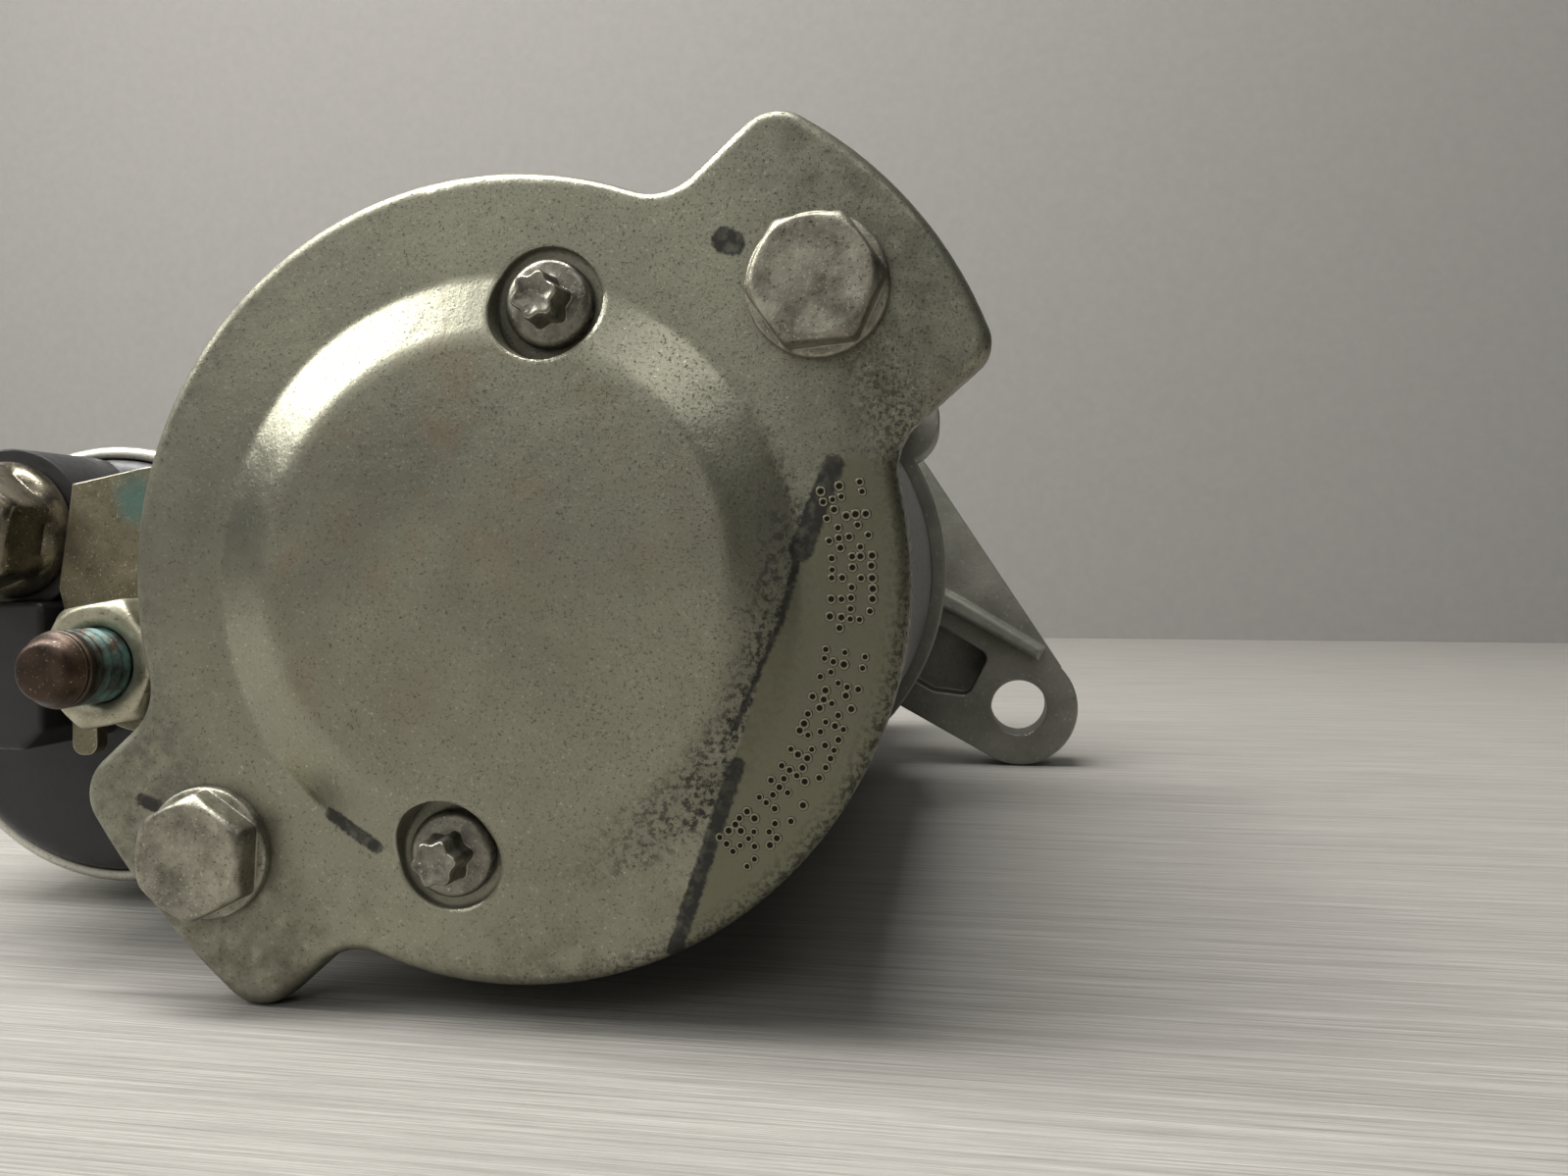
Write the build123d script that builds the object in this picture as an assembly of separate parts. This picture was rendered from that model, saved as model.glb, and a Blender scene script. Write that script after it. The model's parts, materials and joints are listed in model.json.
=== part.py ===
from build123d import *
import os
from math import acos, atan2, cos, degrees, hypot, pi, radians, sin, tan

# Starter motor with a planetary reduction, an overrunning clutch and a solenoid on its side.
# Millimetres. The motor axis is the Y axis and the pinion is towards +Y. The origin is the
# centre of the mounting face, where the locating spigot starts. X is to the right and Z is up.

# ---- driving dimensions ----
MIN_END = (Align.CENTER, Align.CENTER, Align.MIN)
GAP = 0.03                       # running clearance on the radius of a shaft or a slide

SOLENOID = (-57.5, -10.1)        # solenoid axis, in X and Z
ARM_SPAN = hypot(*SOLENOID)      # distance between the two axes

COVER_Y = -146.0                 # outer face of the end cover's flat rim
SHEET = 1.8                      # thickness of the end cover
COVER_R = 34.5
DOME_FOOT_R = 25.65
DOME_TOP_R = 20.3
DOME_RISE = 2.3
LUG_ANGLE = 41.4                 # direction of the first through bolt, the second is opposite
LUG_DEPTH = 2.8                  # lugs are thicker than the sheet between them
# turn: reach, crown of the outer edge, then half width and corner radius of each side
LUG_TIPS = {0: (43.2, 2.8, (13.5, 2.6), (14.2, 4.0)), 180: (42.7, 1.4, (13.1, 4.0), (14.1, 4.2))}

BOLT_PCR = 36.1                  # through bolts, radius of their circle
BOLT_R = 2.95
BOLT_FLATS = 10.0
BOLT_HEAD = 3.4
CAP_SCREW_R = 23.65              # brush holder screws, radius of their circle
CAP_SCREW_ANGLE = 79.2

YOKE_R = 33.0
YOKE_BORE = 29.8
YOKE_END = -54.0                 # where the yoke meets the drive housing
CORE_R = 24.3                    # armature core
CORE_SPAN = (-114.0, -72.0)
COMM_R = 15.0                    # commutator
COMM_SPAN = (-138.0, -121.0)
BRUSH_ANGLES = (34.2, 124.2, 214.2, 304.2)
BRUSH_SPAN = (-137.4, -127.6)

MODULE = 1.0                     # planetary gears
SUN_TEETH, PLANET_TEETH, RING_TEETH = 12, 18, 48
PLANET_PCR = MODULE * (SUN_TEETH + PLANET_TEETH) / 2
PIN_R = 3.5
GEAR_SPAN = (-53.3, -42.5)
PINION_MODULE = 2.5
PINION_TEETH = 9
PINION_SPAN = (-3.8, 14.0)
SHAFT_R = 7.0                    # output shaft
SNAP_RING_SPAN = (28.8, 29.8)

PIVOT_U = 36.0                   # fork pivot, distance from the motor axis towards the solenoid
SWING = 9.5                      # the fork leans this many degrees each side of square
GROOVE_Y = (-29.0, -24.0)        # clutch groove that holds the fork's pads
PIVOT_Y = sum(GROOVE_Y) / 2 + PIVOT_U * sin(radians(SWING))
HOOK_Y = PIVOT_Y + (ARM_SPAN - PIVOT_U) * sin(radians(SWING))

CASE_R = 24.0                    # solenoid case
CASE_SPAN = (-107.0, -46.0)
CAP_R = 23.5
CAP_BACK = -121.0
PLUNGER_R = 10.0
M_STUD = (-44.5, -8.3)           # motor terminal
B_STUD = (-60.5, 5.0)            # battery terminal
STUD_R = 3.7
NUT_FLATS = 12.0
STRAP_Y = (-132.0, -130.5)

FLANGE_T = 9.0                   # mounting flange thickness
EAR = (48.0, -26.3)              # mounting hole in the right ear, the left one is opposite
EAR_R = 11.0
HOLE_R = 5.25
PILOT_R = 34.0
PILOT_LENGTH = 5.0
NOSE_R = 24.0
NOSE_END = 36.5


# ---- shapes that repeat ----
def polar(radius, angle):
    return radius * cos(radians(angle)), radius * sin(radians(angle))


def bar(y0, y1, outer, inner=0.0, at=(0.0, 0.0)):
    # a round bar or tube along Y
    body = Cylinder(outer, y1 - y0, align=MIN_END)
    if inner:
        body -= Cylinder(inner, y1 - y0, align=MIN_END)
    return Pos(at[0], y0, at[1]) * Rot(-90, 0, 0) * body


def plate(sketch, y0, y1):
    # a flat piece: its outline is drawn in X and Z
    return extrude(Plane.XZ.offset(-y1) * sketch, amount=y1 - y0)


def spun(points, at=(0.0, 0.0)):
    # a turned piece: points are (radius, y)
    return Pos(at[0], 0, at[1]) * revolve(make_face(Polyline(*points, close=True)), Axis.Y)


def turned(shape, angle):
    # turn about the motor axis, from +X towards +Z
    return Rot(0, -angle, 0) * shape


def hexagon(y0, y1, flats, at, angle=0.0):
    outline = RegularPolygon(flats / 2, 6, major_radius=False, rotation=angle)
    return plate(Pos(*at) * outline, y0, y1)


def tooth_outline(teeth, module, root, tip, thickness, phase=0.0, steps=3):
    # involute teeth at 20 degrees, the first one centred on the phase angle
    pitch = teeth * module / 2
    base = pitch * cos(radians(20))

    def half_angle(radius):
        pressure = acos(min(1.0, base / max(radius, base)))
        return thickness / 2 / pitch + (tan(radians(20)) - radians(20)) - (tan(pressure) - pressure)

    foot = max(root, base)
    radii = [root] + [foot + (tip - foot) * k / steps for k in range(0 if foot > root else 1, steps + 1)]
    points = []
    for tooth in range(teeth):
        middle = 2 * pi * tooth / teeth + radians(phase)
        flank = [(r, middle - half_angle(r)) for r in radii]
        flank += [(r, middle + half_angle(r)) for r in reversed(radii)]
        points += [(r * cos(a), r * sin(a)) for r, a in flank]
    return make_face(Polyline(*points, close=True))


def coil(y0, y1, radius, wire, turns):
    # a spring along Y, centred on it
    rise = y1 - y0 - 2 * wire
    path = Helix(pitch=rise / turns, height=rise, radius=radius)
    section = Plane(origin=path @ 0, z_dir=path % 0) * Circle(wire)
    return Pos(0, y0 + wire, 0) * Rot(-90, 0, 0) * sweep(section, path=path, is_frenet=True)


# lever frame: its X runs from the motor axis to the solenoid axis, its Y is the motor's Y
LEVER_X = (SOLENOID[0] / ARM_SPAN, 0, SOLENOID[1] / ARM_SPAN)
LEVER_FRAME = Plane(origin=(0, 0, 0), x_dir=LEVER_X, z_dir=(-LEVER_X[2], 0, LEVER_X[0])).location

BOLT_AT = polar(BOLT_PCR, LUG_ANGLE)
CAP_SCREW_AT = polar(CAP_SCREW_R, CAP_SCREW_ANGLE)


def opposite(point):
    return -point[0], -point[1]


# ---- rear end ----
def lug_outline(reach, crown, below, above):
    # drawn along +X: a flat lug with a crowned outer edge that flares into the disc
    low, high = -below[0], above[0]
    edge = ThreePointArc((reach, low), (reach + crown, 0), (reach, high))
    sides = Polyline((reach, high), (0, high), (0, low), (reach, low))
    lug = make_face([edge, sides])
    for corner, (half, radius) in (((reach, low), below), ((reach, high), above)):
        near = [v for v in lug.vertices() if hypot(v.X - corner[0], v.Y - corner[1]) < 0.01]
        lug = fillet(near, radius)
    return lug


def cover_outline():
    outline = Circle(COVER_R)
    for turn, sizes in LUG_TIPS.items():
        outline += Rot(0, 0, LUG_ANGLE + turn) * lug_outline(*sizes)
    roots = [v for v in outline.vertices() if abs(hypot(v.X, v.Y) - COVER_R) < 0.01]
    return fillet(roots, 5.0)


def end_cover():
    inner = COVER_Y + SHEET
    cover = plate(cover_outline(), COVER_Y, COVER_Y + LUG_DEPTH)
    rim = [e for e in cover.edges() if abs(e.center().Y - COVER_Y) < 0.01]
    cover = fillet(rim, 1.1)
    cover -= bar(inner, COVER_Y + LUG_DEPTH, YOKE_R + 0.05)
    cover += spun([(0, COVER_Y - DOME_RISE), (DOME_TOP_R, COVER_Y - DOME_RISE), (DOME_FOOT_R, COVER_Y),
                   (DOME_FOOT_R, inner - 0.4), (0, inner - 0.4)])
    foot = [e for e in cover.edges() if e.geom_type == GeomType.CIRCLE
            and abs(e.radius - DOME_FOOT_R) < 0.01 and abs(e.center().Y - COVER_Y) < 0.01]
    cover = fillet(foot, 1.2)
    brow = [e for e in cover.edges() if e.geom_type == GeomType.CIRCLE and abs(e.radius - DOME_TOP_R) < 0.01]
    cover = fillet(brow, 4.0)
    cover += bar(inner - 0.2, -141.0, COVER_R, YOKE_R + 0.05)
    cover -= spun([(0, COVER_Y - 0.5), (19.6, COVER_Y - 0.5), (24.6, inner), (24.6, inner + 0.1), (0, inner + 0.1)])
    cover += bar(COVER_Y - 0.6, -139.8, 13.2, 11.0)
    for side in (BOLT_AT, opposite(BOLT_AT)):
        cover -= bar(COVER_Y - 1, -140.0, BOLT_R + 0.35, at=side)
    for side in (CAP_SCREW_AT, opposite(CAP_SCREW_AT)):
        pocket = Rot(-90, 0, 0) * Cone(5.1, 4.7, 4.0, align=MIN_END)
        cover -= Pos(side[0], COVER_Y - 3.0, side[1]) * pocket
        cover += bar(COVER_Y + 1.0, COVER_Y + 2.4, 5.6, at=side)
        cover -= bar(COVER_Y - 1.0, COVER_Y + 3.0, 2.1, at=side)
    return cover


def through_bolts():
    bolts = []
    top = COVER_Y - BOLT_HEAD
    for turn, side in ((5.5, BOLT_AT), (26.5, opposite(BOLT_AT))):
        head = hexagon(top, COVER_Y - 1.0, BOLT_FLATS, side, turn)
        crown = spun([(0, top), (4.85, top), (6.2, top + 0.75), (6.2, COVER_Y), (0, COVER_Y)], at=side)
        bolt = (head & crown) + bar(COVER_Y - 1.0, COVER_Y, 6.1, at=side)
        bolts.append(bolt + bar(COVER_Y, -44.0, BOLT_R, at=side))
    return bolts


def star(tip, waist):
    # six-lobed drive recess
    points = []
    for k in range(12):
        points.append(polar(tip if k % 2 == 0 else waist, 30 * k))
    return fillet(make_face(Polyline(*points, close=True)).vertices(), 0.3)


def brush_holder_screws():
    screws = []
    for turn, side in ((14.0, CAP_SCREW_AT), (8.0, opposite(CAP_SCREW_AT))):
        screw = spun([(0, -149.6), (2.95, -149.6), (3.25, -148.9), (3.3, -146.4), (3.75, -146.2), (3.8, -145.9),
                      (3.8, -145.0), (2.0, -145.0), (2.0, -136.0), (0, -136.0)], at=side)
        screws.append(screw - plate(Pos(*side) * Rot(0, 0, turn) * star(2.75, 2.0), -149.7, -147.2))
    return screws


def ball_bearing(y0, y1, bore, outside, ball_circle, ball):
    middle = (y0 + y1) / 2
    groove = Pos(0, middle, 0) * Rot(-90, 0, 0) * Torus(ball_circle, ball + GAP)
    inner = bar(y0, y1, ball_circle - ball * 0.55, bore) - groove
    outer = bar(y0, y1, outside, ball_circle + ball * 0.55) - groove
    balls = [Pos(*polar(ball_circle, a)[:1], middle, polar(ball_circle, a)[1]) * Sphere(ball)
             for a in range(0, 360, 45)]
    cage = bar(middle - 0.4, middle + 0.4, ball_circle + 0.6, ball_circle - 0.6)
    for one in balls:
        cage -= one
    return inner, outer, balls + list(cage.solids())


# ---- motor body ----
def yoke():
    tube = bar(-143.4, YOKE_END, YOKE_R, YOKE_BORE)
    return tube - Pos(-YOKE_R, -135.9, 7.5) * Box(12, 16, 8)


def field_magnets():
    ring = bar(-116.0, -70.0, YOKE_BORE - 0.1, CORE_R + 0.6)
    wedge = make_face(Polyline((0, 0), polar(50, -35), polar(50, 35), close=True))
    return [ring & plate(Rot(0, 0, 90 * k + 45) * wedge, -116.0, -70.0) for k in range(4)]


def brush_plate():
    disc = bar(-141.0, -139.4, 29.5, 16.0)
    for side in (CAP_SCREW_AT, opposite(CAP_SCREW_AT)):
        disc += bar(-143.6, -139.4, 4.4, at=side)
        disc -= bar(-144.0, -139.0, 2.0, at=side)
    return disc


def brush_boxes():
    box = Pos(22.2, -133.2, 0) * Box(12.4, 12.4, 8.0) - Pos(21.4, -132.5, 0) * Box(12.4, 10.0, 6.2)
    return [turned(box, a) for a in BRUSH_ANGLES]


def brush(angle):
    block = Pos(19.9, sum(BRUSH_SPAN) / 2, 0) * Box(9.2, BRUSH_SPAN[1] - BRUSH_SPAN[0], 6.0)
    return turned(block - bar(*COMM_SPAN, COMM_R + 0.1), angle)


def brush_spring(angle):
    spring = Rot(0, 0, -90) * coil(0, 2.9, 2.1, 0.35, 2.5)
    return turned(Pos(24.6, -132.5, 0) * spring, angle)


def armature_shaft():
    return spun([(0, -146.1), (4.0, -146.1), (4.0, -139.0), (7.4, -139.0), (7.4, -61.0), (7.5, -61.0),
                 (7.5, -53.8), (3.2, -53.8), (3.2, -43.0), (3.0, -42.6), (3.0, -38.2), (0, -38.2)])


def armature_core():
    core = bar(*CORE_SPAN, CORE_R, 7.4)
    for k in range(16):
        core -= turned(Pos(19.5, sum(CORE_SPAN) / 2, 0) * Box(7.0, 60, 2.8), 22.5 * k)
        core -= turned(Pos(CORE_R, sum(CORE_SPAN) / 2, 0) * Box(4.0, 60, 1.4), 22.5 * k)
    return core


def armature_windings():
    coils = bar(-120.6, CORE_SPAN[0], 22.5, 9.0) + bar(CORE_SPAN[1], -66.0, 22.5, 9.0)
    for k in range(16):
        coils += turned(Pos(19.5, sum(CORE_SPAN) / 2, 0) * Box(6.6, 44, 2.5), 22.5 * k)
    return coils


def commutator():
    bars = bar(*COMM_SPAN, COMM_R, 10.0)
    for k in range(8):
        bars -= turned(Pos(0, sum(COMM_SPAN) / 2, 0) * Box(40, 30, 0.5), 22.5 * k)
    return bars


def centre_bracket():
    return bar(-58.0, -54.0, 29.4, 10.5)


def shaft_bushes():
    # sintered bushes: behind the sun gear, ahead of the planet carrier and in the nose
    return [bar(-58.0, -54.0, 10.5, 7.5 + GAP), bar(-36.8, -32.8, 9.0, SHAFT_R + GAP),
            bar(30.8, NOSE_END, 8.5, 5.5 + GAP)]


def lead_grommet():
    rubber = Pos(-32.6, -132.0, 7.5) * Box(6.4, 8.2, 7.8)
    rubber += Pos(-34.6, -131.4, 7.5) * Box(2.2, 10.4, 10.4)
    rubber = fillet(rubber.edges().filter_by(Axis.X), 1.0)
    return rubber - Pos(-30, sum(STRAP_Y) / 2, 7.5) * Box(20, 1.6, 6.1)


def motor_lead_strap():
    ring = Pos(*M_STUD) * Circle(7.3)
    web = make_face(Polyline((-51.7, -9.5), (-53.7, -0.9), (-52.0, 9.7), (-43.8, 11.3), (-37.0, 12.0), (-36.0, 10.5),
                             (-29.0, 10.5), (-29.0, 4.5), (-36.0, 4.5), (-37.3, -6.0), close=True))
    tab = Pos(-51.0, -14.6) * Rectangle(2.8, 7.2)
    outline = fillet((web + ring + tab).vertices().filter_by_position(Axis.Y, -19, -17), 1.2)
    return plate(outline, *STRAP_Y) - bar(-133, -130, STUD_R + 0.3, at=M_STUD)


# ---- planetary gears ----
def gear(teeth, thickness, bore, span, phase=0.0, at=(0.0, 0.0)):
    pitch = teeth * MODULE / 2
    outline = tooth_outline(teeth, MODULE, pitch - 1.0, pitch + 0.75, thickness, phase)
    return plate(Pos(*at) * outline, *span) - bar(*span, bore, at=at)


def ring_gear():
    pitch = RING_TEETH * MODULE / 2
    space = tooth_outline(RING_TEETH, MODULE, pitch - 0.75, pitch + 1.05, pi * MODULE / 2 + 0.12, 180 / RING_TEETH)
    return plate(Circle(29.3) - space, GEAR_SPAN[0] - 0.3, GEAR_SPAN[1] + 1.0)


def planet_phase(angle):
    # a planet's tooth space meets the sun's tooth, which starts on +X
    return angle * (SUN_TEETH + PLANET_TEETH) / PLANET_TEETH - 180 * (PLANET_TEETH + 1) / PLANET_TEETH


def planet_gear(angle):
    at = polar(PLANET_PCR, angle)
    return gear(PLANET_TEETH, pi * MODULE / 2 - 0.12, PIN_R + GAP, GEAR_SPAN, planet_phase(angle), at)


def planet_carrier():
    return bar(-41.2, -37.4, 21.5, SHAFT_R - 1.0) - bar(-42, -37, PIN_R, at=(PLANET_PCR, 0)) \
        - bar(-42, -37, PIN_R, at=polar(PLANET_PCR, 120)) - bar(-42, -37, PIN_R, at=polar(PLANET_PCR, 240))


def planet_pins():
    return [bar(GEAR_SPAN[0] + 0.3, -37.4, PIN_R, at=polar(PLANET_PCR, 120 * k)) for k in range(3)]


def output_shaft():
    groove = SNAP_RING_SPAN
    return spun([(3.0 + GAP, -41.2), (6.0, -41.2), (6.0, -37.4), (SHAFT_R, -37.4), (SHAFT_R, groove[0]),
                 (6.4, groove[0]), (6.4, groove[1]), (SHAFT_R, groove[1]), (SHAFT_R, 30.4), (5.5, 30.4),
                 (5.5, 35.6), (5.0, 36.1), (0, 36.1), (0, -37.0), (3.0 + GAP, -37.0)])


def snap_ring():
    ring = bar(SNAP_RING_SPAN[0], SNAP_RING_SPAN[1], 7.8, 6.4)
    return ring - Pos(0, sum(SNAP_RING_SPAN) / 2, -8) * Box(4, 4, 6)


# ---- drive end ----
def gear_bracket():
    return bar(-36.8, -32.8, 29.3, 9.0)


def flange_outline():
    outline = Circle(PILOT_R + 2.5)
    for turn in (0, 180):
        shoulder = make_hull(Circle(PILOT_R + 2.5).edges() + (Pos(*EAR) * Circle(EAR_R)).edges())
        arm = make_hull(Circle(EAR_R).edges() + (Pos(*EAR) * Circle(EAR_R)).edges())
        above = make_face(Polyline((0, 0), EAR, (EAR[0] + 20, EAR[1] + 20), (60, 60), (0, 60), close=True))
        outline += Rot(0, 0, turn) * ((shoulder & above) + arm)
    return outline


def flange_rib():
    # a raised web on the flange's rear face, from the drum to above the hole
    web = make_face(Polyline((24, 1.6), (37.5, -5.6), (52.6, -14.6), (51.4, -17.0), (36.2, -8.8), (24, -3.0),
                             close=True))
    rib = plate(web, -FLANGE_T - 4.5, -FLANGE_T + 1)
    return fillet(rib.edges().group_by(Axis.Y)[0], 1.0)


def flange_pocket():
    outline = make_face(Polyline((29, -8.5), (36.0, -12.5), (42.4, -16.3), (38.4, -24.2), (31.5, -23.4), (24, -19),
                                 close=True))
    return plate(fillet(outline.vertices(), 1.8), -FLANGE_T - 1, -2.6)


def nose_ribs():
    # thin cast webs along the nose, clear of the pinion's window
    web = make_face(Polyline((20.0, 0.0), (30.0, 0.0), (30.0, 5.0), (25.6, 11.0), (24.2, 29.0), (20.0, 29.0), close=True))
    rib = extrude(web, amount=1.3, both=True)
    return [turned(rib, angle) for angle in (-150, -110, -70, -30)]


def housing_shell():
    drum = spun([(0, YOKE_END), (35.0, YOKE_END), (35.0, -49.0), (33.4, -47.4), (32.6, -31.6), (27.5, -26.0),
                 (27.0, -5.0), (0, -5.0)])
    nose = spun([(0, -5.0), (PILOT_R, -5.0), (PILOT_R, PILOT_LENGTH - 0.8), (PILOT_R - 0.8, PILOT_LENGTH),
                 (27.0, PILOT_LENGTH), (NOSE_R, 9.0), (NOSE_R - 1.5, 30.0), (17.0, NOSE_END), (0, NOSE_END)])
    shell = drum + nose + plate(flange_outline(), -FLANGE_T, 0)
    hood = make_hull(Circle(22.5).edges() + (Pos(*SOLENOID) * Circle(17.0)).edges())
    shell += plate(hood, -39.0, -5.0)
    shell += bar(CASE_SPAN[1], -39.0, 27.2, at=SOLENOID)
    bridge = make_hull(Circle(30.0).edges() + (Pos(*SOLENOID) * Circle(20.0)).edges())
    shell += plate(bridge, CASE_SPAN[1], -39.0)
    for side in (BOLT_AT, opposite(BOLT_AT)):
        shell += spun([(0, YOKE_END), (7.0, YOKE_END), (6.6, -41.5), (5.4, -37.2), (3.0, -34.8), (0, -34.0)], at=side)
    for turn in (0, 180):
        shell += turned(flange_rib(), turn)
        shell -= turned(flange_pocket(), turn)
    for rib in nose_ribs():
        shell += rib
    return shell


def drive_housing():
    shell = housing_shell()
    shell -= bar(YOKE_END - 1, -32.6, 29.4)
    shell -= bar(-33, 8.5, 21.5)
    shell -= bar(8, 30.8, 17.6)
    shell -= bar(30, NOSE_END + 1, 8.5)
    cavity = make_hull(Circle(18.0).edges() + (Pos(*SOLENOID) * Circle(12.0)).edges())
    shell -= plate(cavity, -33.0, -9.5)
    shell -= bar(CASE_SPAN[1] - 1, -32.5, 12.0, at=SOLENOID)
    shell -= bar(YOKE_END - 1, CASE_SPAN[1], CASE_R + 0.3, at=SOLENOID)
    shell -= Pos(0, 18.0, 24.0) * Box(33.0, 22.0, 36.0)
    for turn in (0, 180):
        shell -= turned(bar(-10.0, 1.0, HOLE_R, at=EAR), turn)
        shell -= turned(bar(YOKE_END - 1, -43.0, BOLT_R, at=BOLT_AT), turn)
    for at in solenoid_screw_places():
        shell -= bar(-48.0, -38.0, 2.1, at=at)
    pin = Cylinder(3.0, 60)
    return shell - LEVER_FRAME * Pos(PIVOT_U, PIVOT_Y, 0) * pin


def solenoid_screw_places():
    toward = degrees(atan2(SOLENOID[1], SOLENOID[0])) + 180
    return [(SOLENOID[0] + x, SOLENOID[1] + z) for x, z in (polar(21.6, toward + 90 * k) for k in (1, 2, 3))]


def solenoid_screws():
    screws = []
    for at in solenoid_screw_places():
        head = spun([(0, -49.5), (2.0, -49.5), (2.0, -39.0), (3.9, -39.0), (3.9, -36.9), (3.0, -35.8), (0, -35.6)], at)
        screws.append(head - plate(Pos(*at) * star(2.2, 1.6), -37.3, -35.5))
    return screws


# ---- overrunning clutch and pinion ----
def clutch_sleeve():
    return spun([(SHAFT_R + GAP, -31.0), (12.0, -31.0), (12.0, GROOVE_Y[0]), (9.4, GROOVE_Y[0]),
                 (9.4, GROOVE_Y[1]), (12.0, GROOVE_Y[1]), (12.0, -22.4), (9.4, -22.4), (9.4, -17.0),
                 (SHAFT_R + GAP, -17.0)])


def clutch_barrel():
    return spun([(9.4, -20.0), (18.0, -20.0), (19.0, -19.0), (19.0, -5.0), (14.1, -5.0), (14.1, -17.0),
                 (9.4, -17.0)])


def clutch_rollers():
    return [bar(-16.6, -5.4, 1.97, at=polar(12.05, 60 * k + 30)) for k in range(6)]


def clutch_cover():
    return bar(-5.0, -4.2, 18.6, 10.3)


def pinion():
    pitch = PINION_TEETH * PINION_MODULE / 2
    teeth = tooth_outline(PINION_TEETH, PINION_MODULE, 8.9, pitch + 2.25, pi * PINION_MODULE / 2 - 0.1, 90.0, 5)
    blank = spun([(0, PINION_SPAN[0]), (14, PINION_SPAN[0]), (14, 12.6), (12.2, PINION_SPAN[1]), (0, PINION_SPAN[1])])
    gear_part = plate(teeth, *PINION_SPAN) & blank
    return gear_part + bar(-16.8, PINION_SPAN[0], 10.0) - bar(-17, 15, SHAFT_R + GAP)


# ---- fork lever, drawn square and then leant by the swing ----
def shift_lever():
    reach = ARM_SPAN - PIVOT_U
    blade = make_face(Polyline((0, -5.5), (8, -2.6), (reach, -1.3), (reach, 1.3), (8, 2.6), (0, 5.5), close=True))
    blade = extrude(blade + Circle(6.0) + Pos(reach, 0) * Circle(2.45), amount=3.5, both=True)
    fork = Polyline((2, 6.5), (-14, 6.5), (-20, 15.4), (-PIVOT_U, 15.4), (-PIVOT_U, 12.6), (-18.8, 12.6), (-15, 7.0),
                    (-15, -7.0), (-18.8, -12.6), (-PIVOT_U, -12.6), (-PIVOT_U, -15.4), (-20, -15.4), (-14, -6.5),
                    (2, -6.5), close=True)
    plan = Plane.XZ.offset(-2.45) * make_face(fork)
    lever = blade + extrude(plan, amount=4.9)
    for side in (-1, 1):
        lever += Pos(-PIVOT_U, 0, side * 12.7) * Cylinder(2.2, 5.4)
    lever -= Cylinder(3.0 + GAP, 40)
    return LEVER_FRAME * Pos(PIVOT_U, PIVOT_Y, 0) * Rot(0, 0, SWING) * lever


def lever_pin():
    return LEVER_FRAME * Pos(PIVOT_U, PIVOT_Y, 0) * Cylinder(3.0, 41.0)


# ---- solenoid ----
def solenoid_case():
    can = bar(*CASE_SPAN, CASE_R, CASE_R - 1.8)
    rear_edge = can.edges().group_by(Axis.Y)[0]
    can = fillet(rear_edge.sort_by(SortBy.LENGTH)[-1:], 1.2)
    can = Pos(SOLENOID[0], 0, SOLENOID[1]) * can
    can += bar(-50.2, CASE_SPAN[1], CASE_R - 1, PLUNGER_R + 0.3, at=SOLENOID)
    for at in solenoid_screw_places():
        can -= bar(-51.0, -45.0, 2.0, at=at)
    return can


def solenoid_coil():
    return bar(-101.0, -52.2, 20.6, 12.0, at=SOLENOID)


def solenoid_bobbin():
    body = bar(-102.8, -50.4, 11.8, PLUNGER_R + 0.08, at=SOLENOID)
    body += bar(-102.8, -101.2, 21.6, PLUNGER_R + 0.08, at=SOLENOID)
    return body + bar(-52.0, -50.4, 21.6, PLUNGER_R + 0.08, at=SOLENOID)


def fixed_core():
    core = bar(-107.0, -103.0, 22.0, at=SOLENOID) + bar(-103.0, -84.2, PLUNGER_R, at=SOLENOID)
    return core - bar(-108.0, -84.0, 2.5 + GAP, at=SOLENOID)


def terminal_tower():
    outline = make_face(Polyline((-54.2, -2.4), (-60.5, -2.4), (-64.5, -5.2), (-66.0, -13.0), (-62.0, -17.6),
                                 (-56.6, -17.6), (-54.2, -15.4), close=True))
    tower = plate(fillet(outline.vertices(), 0.8), -134.0, CAP_BACK + 1)
    return fillet(tower.edges().group_by(Axis.Y)[0], 0.6)


def solenoid_cap():
    cap = bar(CAP_BACK, CASE_SPAN[0], CAP_R)
    cap = fillet(cap.edges().group_by(Axis.Y)[0], 2.2)
    cap = Pos(SOLENOID[0], 0, SOLENOID[1]) * cap
    cap -= bar(-118.0, -106.0, 21.2, at=SOLENOID)
    cap += terminal_tower()
    for stud, boss in ((M_STUD, 7.2), (B_STUD, 8.6)):
        cap += bar(STRAP_Y[1], CAP_BACK + 1, boss, at=stud)
    for stud in (M_STUD, B_STUD):
        cap -= bar(-132.0, -117.0, STUD_R, at=stud)
    return cap - Pos(-71.0, -120.0, -12.0) * Box(0.9, 6, 6.4)


def stud(at, back, neck):
    # the free end beyond the neck is a little thinner, as a rolled thread is
    free = STUD_R - 0.1
    return spun([(0, back), (free - 1.2, back), (free, back + 2.0), (free, neck), (STUD_R, neck), (STUD_R, -118.0),
                 (5.6, -118.0), (5.6, -116.0), (0, -116.0)], at=at)


def terminal_nut(at, y0, y1, angle, flange):
    nut = hexagon(y0, y1, NUT_FLATS, at, angle)
    nut = nut & spun([(0, y0), (5.9, y0), (7.0, y0 + 0.8), (7.0, y1), (0, y1)], at=at)
    if flange:
        nut += spun([(0, y1 - 2.0), (6.6, y1 - 2.0), (flange, y1 - 0.8), (flange, y1), (0, y1)], at=at)
    return nut - bar(y0 - 1, y1 + 1, STUD_R, at=at)


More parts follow.
